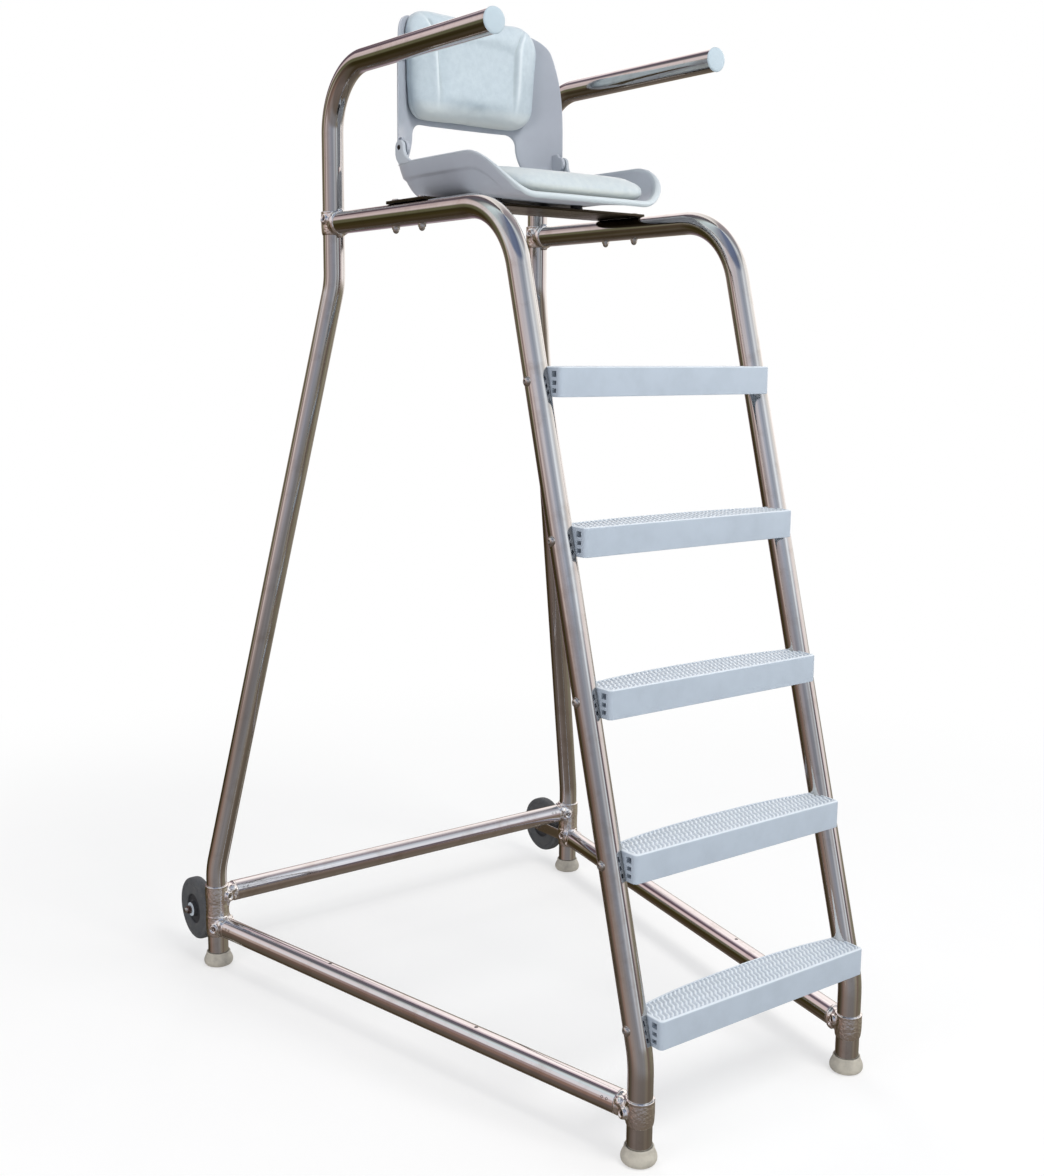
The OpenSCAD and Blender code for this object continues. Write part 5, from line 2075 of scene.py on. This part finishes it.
    def mark_rim(self, mesh: Mesh) -> None:
        """Stores where the bowl has a painted highlight on its rolled rim, and painted shade on
        its outer body under the band.

        Args:
            mesh: the finished pan.
        """
        tones, painted_body_shade = [], []
        for v in mesh.vertices:
            x, y = v.co.x / MM, v.co.y / MM - self.mid_y
            z = v.co.z / MM - self.base_z + self.hang(x, y)
            ex, ey, inset = self.rim_beside(x, y)
            low = self.fall(ex, ey) if y < 0 else 0.0
            r, rim = self.bead(low), self.rim(ex, ey)
            # painted highlight along the rolled rim, strongest where the rim has fallen to the
            # front
            near = smooth((3.2 * r - inset) / 2.5) * smooth((z - rim + 2.2 * r) / 2.0)
            tones.append(near * (0.35 + 0.65 * low))
            # painted shade on the outer body under the band, which faces down, eased off near the
            # base
            held = smooth((rim - 24) / 30)
            painted_body_shade.append(held * smooth((rim - z - self.band + 1.5) / 3.0)
                        * smooth((self.outside(x, y, z) + 2.0) / 1.0)
                        * (0.1 + 0.9 * smooth((z - 6) / 36)))
        store(mesh, "painted_highlight", tones)
        store(mesh, "shade_and_grime", painted_body_shade)

    def outside(self, x: float, y: float, z: float) -> float:
        """How far a point of the wall lies outside the middle of its thickness.

        Args:
            x: the point's place across the pan, from its middle.
            y: and along it.
            z: its height above the pan's base.

        Returns:
            The distance, less than 0 on the inner side.
        """
        ex, ey, inset = self.rim_beside(x, y)
        rim = self.rim(ex, ey)
        low, high = 0.0, 1.0
        for _ in range(12):
            mid = (low + high) / 2
            low, high = (mid, high) if self.ladder(mid)[1] * rim < z else (low, mid)
        return self.curve * self.ladder(low)[0] + self.wall / 2 - inset

    def ear(self, x0: float) -> Shape:
        """A hinge ear: a round tab on the wing, its front edge swept down to the rim.

        Args:
            x0: the ear's face that has the lower x.

        Returns:
            The ear.
        """
        back = SeatBack.hinge()
        foot = -(back.z - self.base_z - self.wing_h)
        reach, n = 46, 14
        loop = arc(0, 0, self.ear_r, 0, 180, 16)
        sweep = []
        for k in range(n + 1):
            a = math.pi / 2 * k / n
            sweep.append((-self.ear_r - reach * (1 - math.sin(a)), (foot - 2) * math.cos(a)))
        loop += list(reversed(sweep))[1:]
        loop += [(-self.ear_r - reach, foot - 4.5), (self.ear_r - 14, foot - 4.5),
                 (self.ear_r - 3.5, foot + 7), (self.ear_r, foot + 17)]
        return panel(loop, self.ear_t, 2.2, 7,
                     lambda u, v, w: (x0 + self.ear_t - w, back.y + u, back.z + v), 4)

    def build(self) -> None:
        """Makes the pan with its ears."""
        pan = self.bowl().mesh("seat_pan_bowl", 50)
        tools = [("UNION", self.ear(x).mesh("ear")) for x in (-EAR_X - self.ear_t, EAR_X)]
        mesh = pruned(shade(combined(pan, tools), 42))
        self.mark_rim(mesh)
        piece("seat_pan_moulding", mesh, "frame", "seat_shell", SHELL, ["seat_pan"])


@dataclass
class SeatCushion:
    """The padded vinyl cushion that lies in the pan."""

    pan: SeatPan
    side_gap: float = 36
    squash: float = 0.94       # how far its own weight and use have settled the foam
    voxel: float = 5.0
    cap: float = 7.0

    def layers(self) -> list[tuple[float, float, float, float]]:
        """Side, front and back gap and height of the shape before it swells."""
        s = self.side_gap
        return [(96, 46, 96, 0.3), (78, 33, 88, 2.6), (60, 26, 80, 6.5), (s + 12, 22, 74, 11),
                (s + 6, 20, 68, 16), (s + 3, 19, 64, 20), (s + 2, 20, 62, 25),
                (s + 2, 22, 62, 30), (s + 4, 27, 64, 35), (s + 8, 36, 68, 40),
                (s + 16, 52, 76, 44), (s + 30, 80, 92, 47.4), (s + 54, 112, 120, 49.4),
                (s + 86, 150, 150, 50.4), (s + 120, 180, 180, 50.6)]

    def blank(self) -> Mesh:
        """The cushion before it is blown up, from stacked outlines."""
        p = self.pan
        rings = []
        for side, front, back, z in self.layers():
            y0, y1 = p.mid_y - p.depth / 2 + front, p.mid_y + p.depth / 2 - back
            half_x, half_y, mid = p.width / 2 - side, (y1 - y0) / 2, (y0 + y1) / 2
            ring = []
            for k in range(120):
                x, y = p.squared(math.tau * k / 120, half_x, half_y, None if half_y > 80 else 3)
                y += mid
                ring.append((x, y, p.base_z + p.wall + z * self.squash - p.hang(x, y - p.mid_y)))
            rings.append(ring)
        return Shape().loft(rings).mesh("seat_cushion_blank", 180)

    def build(self) -> Object:
        """Blows the cushion up, held where it lies on the pan."""
        floor = (self.pan.base_z + self.pan.wall) * MM
        mesh = Padding(self.voxel, self.cap).inflate(
            self.blank(), lambda co: np.clip((co[:, 2] - floor) / (16 * MM), 0, 1))
        thing = piece("seat_cushion_padded", mesh, "frame", "vinyl", SEAT_VINYL,
                      ["seat_cushion"])
        return thing


class Padding:
    """Blows a closed form up as cloth under pressure."""

    def __init__(self, voxel: float, cap: float) -> None:
        """Takes the size of the new faces and the most that a point may move, in millimetres."""
        self.voxel, self.cap = voxel, cap

    @staticmethod
    def points(mesh: Mesh) -> np.ndarray:
        """A mesh's points as an array."""
        co = np.zeros(len(mesh.vertices) * 3, np.float32)
        mesh.vertices.foreach_get("co", co)
        return co.reshape(-1, 3).astype(float)

    @staticmethod
    def normals(mesh: Mesh) -> np.ndarray:
        """A mesh's point normals as an array."""
        no = np.zeros(len(mesh.vertices) * 3, np.float32)
        mesh.vertex_normals.foreach_get("vector", no)
        return no.reshape(-1, 3).astype(float)

    @staticmethod
    def move(mesh: Mesh, co: np.ndarray) -> None:
        """Sets a mesh's points."""
        mesh.vertices.foreach_set("co", co.astype(np.float32).ravel())
        mesh.update()

    def inflate(self, blank: Mesh, freedom: Callable[[np.ndarray], np.ndarray]
                ) -> Mesh:
        """Remeshes a blank, swells it and subdivides it once.

        Args:
            blank: the closed form, a little smaller than the finished pad.
            freedom: for the points, how freely each may move, from 0 to 1.

        Returns:
            The finished mesh.
        """
        mesh = remeshed(blank, self.voxel, 3)
        start = self.points(mesh)
        swollen = self.simulated(mesh)
        step = swollen - start
        size = np.linalg.norm(step, axis=1, keepdims=True)
        step *= np.minimum(1.0, self.cap * MM / np.maximum(size, 1e-9))
        self.move(mesh, start + step * freedom(start)[:, None])
        thing = scratch(mesh)
        soft = thing.modifiers.new("soft", "SMOOTH")
        soft.factor, soft.iterations = 0.5, 14
        finer = thing.modifiers.new("finer", "SUBSURF")
        finer.levels = finer.render_levels = 1
        return shade(settled(thing), 180)

    def simulated(self, mesh: Mesh) -> np.ndarray:
        """The points after twenty frames of cloth under pressure, without gravity.

        Args:
            mesh: the closed form.

        Returns:
            The points, in metres.
        """
        thing = scratch(mesh.copy())
        cloth = thing.modifiers.new("cloth", "CLOTH")
        cloth.settings.quality = 5
        cloth.settings.mass = 0.4
        cloth.settings.use_pressure = True
        cloth.settings.uniform_pressure_force = 4.0
        cloth.settings.tension_stiffness = 18
        cloth.settings.compression_stiffness = 18
        cloth.settings.bending_stiffness = 12
        cloth.settings.effector_weights.gravity = 0
        cloth.collision_settings.use_self_collision = False
        cloth.point_cache.frame_start, cloth.point_cache.frame_end = 1, 20
        scene = bpy.context.scene
        for frame_number in range(1, 21):
            scene.frame_set(frame_number)
        graph = bpy.context.evaluated_depsgraph_get()
        blown = bpy.data.meshes.new_from_object(thing.evaluated_get(graph), depsgraph=graph)
        result = self.points(blown)
        bpy.data.objects.remove(thing)
        scene.frame_set(1)
        return result


@dataclass
class SeatBack:
    """The folding backrest: a curved shell on two legs, and the pad on its face."""

    thick: float = 6
    leg_w: float = 83
    top_taper: float = 32
    full_from: float = 24
    top_corner: float = 46
    cutout_h: float = 67
    cutout_r: float = 26
    cutout_flare: float = 18
    wrap_gap: float = 4
    pad_edge: float = 11
    pad_low: float = 74
    pad_high: float = 306
    pad_depth: float = 64
    crease: float = 106
    voxel: float = 5.0
    cap: float = 8.0
    width: float = field(init=False)
    foot: float = field(init=False)
    top: float = field(init=False)
    mid_y: float = field(init=False)
    pivot: Vector = field(init=False)

    def __post_init__(self) -> None:
        """Reads the shell's size and its pivot from the frame."""
        low, high = corners("back_shell")
        self.width = high.x - low.x
        self.pivot = self.hinge()
        self.foot, self.top = low.z - self.pivot.z, high.z - self.pivot.z
        self.mid_y = high.y - self.thick

    @staticmethod
    def hinge() -> Vector:
        """Where the back's hinge axis crosses the chair's middle."""
        return middle("hinge_bolts")

    def wrap(self) -> float:
        """How far the shell's flanks come forward of its middle."""
        return self.mid_y - self.pivot.y - self.wrap_gap

    def front_y(self, x: float) -> float:
        """The shell's front face at x."""
        return self.mid_y - self.wrap() * (abs(x) / (self.width / 2)) ** 4

    def half(self, h: float) -> float:
        """Half the shell's width at a height above the hinge."""
        t = max(0.0, (h - self.full_from) / (self.top - self.full_from))
        return self.width / 2 - self.top_taper * t ** 3.2

    def outline(self) -> list[POINT2]:
        """The shell seen from the front, as (x, height above the hinge), anticlockwise."""
        cut = self.width / 2 - self.leg_w
        c, r, top = cut, self.cutout_r, self.cutout_h
        # the right half: the cut-out from its middle to its foot, then the flank and the top
        right = [(0.0, top), (c - r - 30, top), *arc(c - r, top - r, r, 90, -90, 8)]
        low = self.foot
        flare = []
        for k in range(1, 9):
            t = k / 8
            flare.append((c + self.cutout_flare * t ** 1.8, (top - r) + (low - top + r) * t))
        right += flare[:-1]
        fr = 7.0
        end = c + self.cutout_flare
        outer = self.half(low)
        right += [(end + fr * (1 - math.cos(a)) - fr * 0.25, low + fr * (1 - math.sin(a)))
                  for a in (math.pi / 2 * k / 5 for k in range(6))]
        right += [(outer - fr * (1 - math.sin(a)), low + fr * (1 - math.cos(a)))
                  for a in (math.pi / 2 * k / 5 for k in range(6))]
        r = self.top_corner
        right += [(self.half(h), h) for h in map(float, np.linspace(low + 14, self.top - r, 22))]
        for k in range(1, 19):
            a = math.pi / 2 * k / 18
            h = self.top - r + r * math.sin(a)
            right.append((self.half(h) - r + r * math.cos(a), h))
        x_end = right[-1][0]
        right += [(x_end * (1 - k / 6), self.top) for k in range(1, 7)]
        return right + [(-x, h) for x, h in reversed(right[1:-1])]

    def shell(self) -> Shape:
        """The curved shell with rounded edges."""
        def lift(u: float, v: float, w: float) -> POINT:
            """A point of the shell, at a depth w behind its front face."""
            return (u, self.front_y(u) + w, self.pivot.z + v)

        return panel(self.outline(), self.thick, 2.6, 9, lift, 4)

    def lug(self, x0: float) -> Shape:
        """A hinge lug of the shell, inside a pan ear.

        Args:
            x0: the lug's face that has the lower x.

        Returns:
            The lug.
        """
        r, t = 16.0, LUG_T
        y1 = self.front_y(x0 + t / 2) - self.pivot.y + 3
        loop = arc(0, 0, r, 90, 180, 16)
        loop += [(y1, -r), (y1, self.full_from - 2), (8, self.full_from)]
        return panel(loop, t, 1.8, 7,
                     lambda u, v, w: (x0 + t - w, self.pivot.y + u, self.pivot.z + v), 3)

    def pad_blank(self) -> Mesh:
        """The pad before it is blown up, from shrinking outlines."""
        half = self.width / 2 - self.top_taper - self.pad_edge
        low, high = self.pad_low, self.pad_high
        loop = rounded([(-half + 18, low), (half - 18, low), (half, high), (-half, high)],
                       [46, 46, 58, 58], 12)
        mid = (low + high) / 2
        face = self.mid_y - self.pad_depth
        rings = []
        shares = [(1.0, 0.0), (1.0, 0.18), (0.998, 0.34), (0.99, 0.5), (0.972, 0.65),
                  (0.945, 0.78), (0.905, 0.88), (0.85, 0.945), (0.78, 0.98), (0.68, 1.0),
                  (0.5, 1.0), (0.3, 1.0), (0.1, 1.0)]
        for s, out in shares:
            ring = []
            for u, v in loop:
                x, z = u * s, mid + (v - mid) * s
                back = self.front_y(x) - 0.4
                y = back + (face - back) * out
                ring.append((x, y, self.pivot.z + z))
            rings.append(ring)
        shape = Shape().loft(rings, False, True)
        points, tris = filled(loop, 14)
        start = len(shape.points)
        shape.points += [Vector((u, self.front_y(u) - 0.4, self.pivot.z + v)) for u, v in points]
        shape.faces += [tuple(start + k for k in t) for t in tris]
        return shape.mesh("back_pad_blank", 180)

    def crease_x(self, z: float) -> float:
        """Where a crease between the middle panel and a bolster runs, at height z."""
        t = max(0.0, (z - self.pad_low) / (self.pad_high - self.pad_low))
        return self.crease - 8 * (1 - t) + 8 * t + 34 * max(0.0, (t - 0.72) / 0.28) ** 1.6

    def hollow(self, x: float, z: float) -> float:
        """How far the middle panel lies back from the bolsters.

        Args:
            x: the place across the pad, from its middle.
            z: the height above the hinge.

        Returns:
            The depth.
        """
        across = smooth((self.crease_x(z) + 3 - abs(x)) / 9)
        up = smooth((self.pad_high - 34 - 12 * (x / 110) ** 2 - z) / 34)
        down = smooth((z - self.pad_low - 14) / 120)
        return 8 * across * up * down

    def pad(self) -> Mesh:
        """The blown-up pad with its creases and edge seam pressed in."""
        def freedom(co: np.ndarray) -> np.ndarray:
            """How freely points may move: not at all where they lie on the shell."""
            away = np.array([self.front_y(x / MM) * MM for x in co[:, 0]]) - co[:, 1]
            return np.clip((away - 1 * MM) / (14 * MM), 0, 1)

        mesh = Padding(self.voxel, self.cap).inflate(self.pad_blank(), freedom)
        co = Padding.points(mesh)
        normal = Padding.normals(mesh)
        x, z = co[:, 0] / MM, co[:, 2] / MM - self.pivot.z
        line = np.array([self.crease_x(v) for v in z])
        fade = np.clip((self.pad_high - 8 - z) / 26, 0, 1) * np.clip(
            (z - self.pad_low - 16) / 60, 0, 1)
        facing = np.clip(-normal[:, 1], 0, 1)
        groove = np.exp(-((np.abs(x) - line) / 3.6) ** 2) * 4.6 + np.exp(
            -((np.abs(x) - line + 6) / 15) ** 2) * 4.4 - np.exp(
            -((np.abs(x) - line - 13) / 9) ** 2) * 2.2
        hollow = np.array([self.hollow(a, b) for a, b in zip(x, z)])
        top_line = self.pad_high - 40 - 12 * (np.abs(x) / 110) ** 2
        across = np.exp(-((z - top_line) / 9) ** 2) * 0.9 * np.clip((line - np.abs(x)) / 20, 0, 1)
        back = np.array([self.front_y(v) for v in x]) - co[:, 1] / MM
        seam = np.exp(-((back - 17) / 1.5) ** 2) * np.clip(1 - np.abs(normal[:, 1]) * 1.3, 0, 1)
        push = ((groove * fade + across + hollow) * facing + seam * 1.2) * MM
        co -= normal * push[:, None]
        Padding.move(mesh, co)
        # painted highlight on the ridges beside the creases; painted shade in the creases and the
        # edge seam
        ridge = np.exp(-((np.abs(x) - line - 7) / 3.5) ** 2) * fade * facing * 0.6
        crease = np.exp(-((np.abs(x) - line + 1) / 3.5) ** 2) * fade * facing * 0.55
        store(mesh, "ridge", ridge.tolist())
        store(mesh, "crease", np.maximum(crease, seam * 0.6).tolist())
        return mesh

    def build(self) -> None:
        """Makes the shell with its lugs, the pad and the hinge bolts."""
        tools = [("UNION", self.lug(x).mesh("lug")) for x in (LUG_X, -LUG_X - LUG_T)]
        shell = shade(combined(self.shell().mesh("back_shell_moulding", 50), tools), 42)
        piece("back_shell_moulding", pruned(shell), "seat_back", "seat_shell", SHELL,
              ["back_shell"])
        pad = piece("back_cushion_padded", self.pad(), "seat_back", "vinyl", BACK_VINYL,
                    ["back_cushion"])
        high, r = corners("hinge_bolts")[1], 5.4
        head = Shape().lathe([(0, -4), (3.9, -4), (3.9, -0.4), (r, -0.4), (r, 0.6),
                              (r - 1.2, 1.9), (r - 2.4, 2.4), (1.9, 2.4), (1.7, 1.0), (0, 1.0)],
                             30)
        spots = [(Vector((s * (high.x - 3.2), self.pivot.y, self.pivot.z)), Vector((s, 0, 0)))
                 for s in (-1, 1)]
        Studs.at("hinge_screw_heads", head, spots, SCREW, ["hinge_bolts"], "seat_back")


# ---- studio --------------------------------------------------------------


@dataclass
class Studio:
    """Floor, lights and camera."""

    eye: POINT = (-1.917, -2.4823, 1.473)
    azimuth: float = 37.04
    pitch: float = -9.51
    roll: float = 0.47
    lens: float = 43.44
    ball_r: float = 60.0
    ball_z: float = 1.2
    ball_light: float = 1.6
    # each cloth: the heights in degrees over which it takes over from the one below it, and
    # its tones by direction, in degrees from the chair's right
    cloths: tuple[tuple[float, float, tuple[tuple[float, str], ...]], ...] = (
        (-90, -90, ((-180, "#665C57"), (-60, "#63594F"), (20, "#665F56"), (75, "#554C44"),
                    (100, "#3A3022"), (130, "#524A40"), (152, "#5C514C"), (180, "#665C57"))),
        (-34, -18, ((-180, "#867974"), (-140, "#7D797B"), (-104, "#7D7B7D"), (-72, "#857E72"),
                    (-58, "#6C5C56"), (-44, "#7C7466"), (-20, "#857F6E"), (30, "#8A8177"),
                    (50, "#655C4C"), (61, "#93868C"), (70, "#6A5862"), (86, "#3D2F1E"),
                    (122, "#342D17"), (138, "#5A4C42"), (160, "#80695F"), (180, "#867974"))),
        (-8, 1, ((-180, "#9C9192"), (-150, "#939098"), (-134, "#8C8D98"), (-118, "#8E929C"),
                 (-102, "#B8BAC2"), (-86, "#A4A2A6"), (-74, "#CFD6DC"), (-66, "#60555A"),
                 (-58, "#60545A"), (-44, "#E6DADA"), (-20, "#FBF3F1"), (15, "#F2EBE8"),
                 (42, "#E2DAD6"), (54, "#8E857A"), (72, "#9A8C86"), (92, "#675B4E"),
                 (106, "#776B60"),
                 (116, "#5A5840"), (130, "#605F48"), (139, "#B4A49A"), (152, "#826E6C"),
                 (166, "#CCBDBA"), (180, "#A79B9C"))),
        (9, 17, ((-180, "#C8BFC4"), (-150, "#C0BCC2"), (-131, "#A2A5B3"), (-112, "#969EAC"),
                  (-93, "#AFB4C0"), (-72, "#E6ECF4"), (-50, "#D8DAE0"), (-25, "#FFFDFB"),
                  (30, "#FBF5F3"), (60, "#F4EAE8"), (70, "#5C4C54"), (101, "#54474F"),
                  (109, "#CDB9BA"), (122, "#CDBDBC"), (150, "#D2D2D6"), (180, "#C8BFC4"))),
        (31, 39, ((-180, "#8E92A0"), (-150, "#6A7590"), (-96, "#66718E"), (-74, "#B4BCC8"),
                  (-56, "#ECF2FA"), (-44, "#C3CAD2"),
                  (-20, "#98969D"), (16, "#A89FA4"), (46, "#EFEBE8"), (64, "#FFF8F6"),
                  (80, "#D0C0C6"), (93, "#5E525C"), (122, "#5E6066"), (130, "#A6A9A8"),
                  (140, "#CAD8DC"), (180, "#8E92A0"))))

    def camera(self) -> None:
        """Sets the camera up in front, to the left."""
        t, p, r = (math.radians(v) for v in (self.azimuth, self.pitch, self.roll))
        forward = Vector((math.sin(t) * math.cos(p), math.cos(t) * math.cos(p), math.sin(p)))
        right = Vector((math.cos(t), -math.sin(t), 0))
        up = right.cross(forward)
        right2 = right * math.cos(r) + up * math.sin(r)
        up2 = up * math.cos(r) - right * math.sin(r)
        data = bpy.data.cameras.new("camera")
        data.lens, data.sensor_width, data.sensor_fit = self.lens, 36, "AUTO"
        data.clip_end = 100
        cam = link(bpy.data.objects.new("camera", data))
        cam.matrix_world = Matrix.Translation(self.eye) @ Matrix(
            (right2, up2, -forward)).transposed().to_4x4()
        bpy.context.scene.camera = cam

    def lamp(self, name: str, at: POINT, to: POINT, size: float, power: float,
             colour: str) -> None:
        """A soft square lamp that faces a point.

        Args:
            name: the lamp's name.
            at: where it hangs, in metres.
            to: the point that it faces.
            size: its side, in metres.
            power: its power, in watts.
            colour: its colour, as sRGB hex.
        """
        data = bpy.data.lights.new(name, "AREA")
        data.energy, data.size, data.color = power, size, linear(colour)[:3]
        thing = link(bpy.data.objects.new(name, data))
        aim = Vector(to) - Vector(at)
        thing.matrix_world = Matrix.Translation(at) @ aim.to_track_quat("-Z", "Y").to_matrix(
            ).to_4x4()
        thing.visible_glossy = False

    def floor(self) -> None:
        """A wide pale floor that fades into the white room."""
        shape = Shape().loft([[(x * 30000, y * 30000, z) for x, y in
                               ((-1, -1), (1, -1), (1, 1), (-1, 1))] for z in (-20, 0)])
        mesh = shape.mesh("floor")
        made, tree, shader = new_material("painted_studio_floor")
        where = add_node(tree, "ShaderNodeTexCoord").outputs["Object"]
        speck = add_node(tree, "ShaderNodeTexNoise", None, {
            "Vector": where, "Scale": 3.0, "Detail": 4.0})
        fill(tree, shader, {"Base Color": blended(tree, speck, "#F4F4F3", "#F9F9F8"),
                            "Roughness": 0.9, "Specular IOR Level": 0.0})
        away = add_node(tree, "ShaderNodeVectorMath", {"operation": "LENGTH"}, {0: where})
        fade = ranged(tree, away.outputs["Value"], (0.9, 3.2), (0.55, 1.0), "SMOOTHSTEP")
        seen = add_node(tree, "ShaderNodeLightPath")
        mixed = add_node(tree, "ShaderNodeMixShader", None, {
            0: maths(tree, "MULTIPLY", fade, seen.outputs["Is Camera Ray"]), 1: shader,
            2: add_node(tree, "ShaderNodeEmission", None, {
                "Color": (1, 1, 1, 1), "Strength": 1.0})})
        fill(tree, tree.nodes["Material Output"], {"Surface": mixed})
        mesh.materials.append(made)
        thing = link(bpy.data.objects.new("floor", mesh))
        thing.visible_glossy = False

    def surround(self) -> None:
        """Cloths hung round and under the studio, which only reflections see.

        They are one large ball, hung with cloths one above the other: two for the ground,
        one for the wall, a pale belt above it, and a duller ceiling.
        """
        ball = bpy.data.meshes.new("studio_surround")
        bm = bmesh.new()
        bmesh.ops.create_uvsphere(bm, u_segments=64, v_segments=32, radius=self.ball_r,
                                  matrix=Matrix.Translation((0, 0, self.ball_z)))
        bm.to_mesh(ball)
        bm.free()
        made, tree, _ = new_material("studio_cloth")
        tree.nodes.clear()
        out = add_node(tree, "ShaderNodeVectorMath", {"operation": "SUBTRACT"}, {
            0: add_node(tree, "ShaderNodeTexCoord").outputs["Object"], 1: (0, 0, self.ball_z)})
        way = add_node(tree, "ShaderNodeVectorMath", {"operation": "NORMALIZE"}, {0: out})
        parts = add_node(tree, "ShaderNodeSeparateXYZ", None, {0: way}).outputs
        round_it = ranged(tree, maths(tree, "ARCTAN2", parts["Y"], parts["X"]),
                          (-math.pi, math.pi))
        height = maths(tree, "DEGREES", maths(tree, "ARCSINE", parts["Z"]))
        colour: NodeSocket | None = None
        for low, high, tones in self.cloths:
            upper = self.ramp(tree, round_it, tones)
            if colour is not None:
                share = ranged(tree, height, (low, high), kind="SMOOTHSTEP")
                upper = blended(tree, share, colour, upper)
            colour = upper
        glow = add_node(tree, "ShaderNodeEmission", None, {
            "Color": colour, "Strength": self.ball_light})
        add_node(tree, "ShaderNodeOutputMaterial", None, {"Surface": glow})
        ball.materials.append(made)
        self.hidden(bpy.data.objects.new("studio_surround", ball))

    @staticmethod
    def ramp(tree: NodeTree, value: object,
             stops: Sequence[tuple[float, str]]) -> NodeSocket:
        """A colour for each direction.

        Args:
            tree: the material's tree.
            value: the direction, from 0 to 1.
            stops: directions in degrees from the chair's right, with their colours.

        Returns:
            The colour's socket.
        """
        node = add_node(tree, "ShaderNodeValToRGB", None, {0: value})
        node.color_ramp.interpolation = "EASE"
        steps = node.color_ramp.elements
        while len(steps) < len(stops):
            steps.new(0.5)
        for step, (degrees, tone) in zip(steps, stops):
            step.position = (degrees + 180) / 360
            step.color = linear(tone)
        return node.outputs["Color"]

    @staticmethod
    def hidden(thing: Object) -> None:
        """Links an object that shows only in reflections.

        Args:
            thing: the object.
        """
        link(thing)
        thing.visible_camera = thing.visible_diffuse = thing.visible_shadow = False
        thing.visible_transmission = thing.visible_volume_scatter = False
        thing.visible_glossy = True

    def world(self) -> None:
        """A plain bright room: white behind the chair, a little dimmer as light."""
        scene = bpy.context.scene
        room = bpy.data.worlds.new("bright_room")
        scene.world = room
        room.use_nodes = True
        tree = room.node_tree
        tree.nodes.clear()
        seen = add_node(tree, "ShaderNodeLightPath")
        light, white = (add_node(tree, "ShaderNodeBackground", None, {
            "Color": linear(tone), "Strength": power})
            for tone, power in (("#F4F6FA", 0.55), ("#FFFFFF", 1.0)))
        shown = maths(tree, "MAXIMUM", seen.outputs["Is Camera Ray"],
                      seen.outputs["Is Glossy Ray"])
        mix = add_node(tree, "ShaderNodeMixShader", None, {0: shown, 1: light, 2: white})
        add_node(tree, "ShaderNodeOutputWorld", None, {"Surface": mix})

    def build(self) -> None:
        """Sets the studio up."""
        bpy.context.scene.view_settings.view_transform = "Standard"
        self.camera()
        self.floor()
        self.surround()
        self.world()
        self.lamp("key", (0.5, -3.4, 5.0), (0, 0, 1.2), 1.8, 150, "#FFFDFA")
        self.lamp("side_fill", (-3.2, -0.6, 1.74), (0, 0.1, 1.82), 1.4, 26, "#FBF6FA")
        self.lamp("front_fill", (-0.6, -3.8, 1.1), (0, 0, 1.85), 2.0, 10, "#FCFAFC")
        self.lamp("fill", (3.8, -2.2, 2.4), (0, 0, 1.2), 3.0, 36, "#F4F7FF")
        self.lamp("back", (1.5, 4.2, 3.8), (0, 0, 1.2), 2.6, 60, "#FFFFFF")


def main() -> None:
    """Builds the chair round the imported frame, in order."""
    logging.basicConfig(level=logging.INFO, format="%(message)s")
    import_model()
    Studio().build()
    at = Places.read()
    LOG.info("frame: rails %.1f mm up, legs %.1f mm apart", at.rail_h, 2 * at.half_w)
    SideFrames(at).build()
    LowerFrame(at).build()
    Feet().build()
    Wheels(at).build()
    Treads(at).build()
    SeatBase(at).build()
    pan = SeatPan()
    pan.build()
    SeatCushion(pan).build()
    SeatBack().build()


if __name__ == "__main__":
    main()
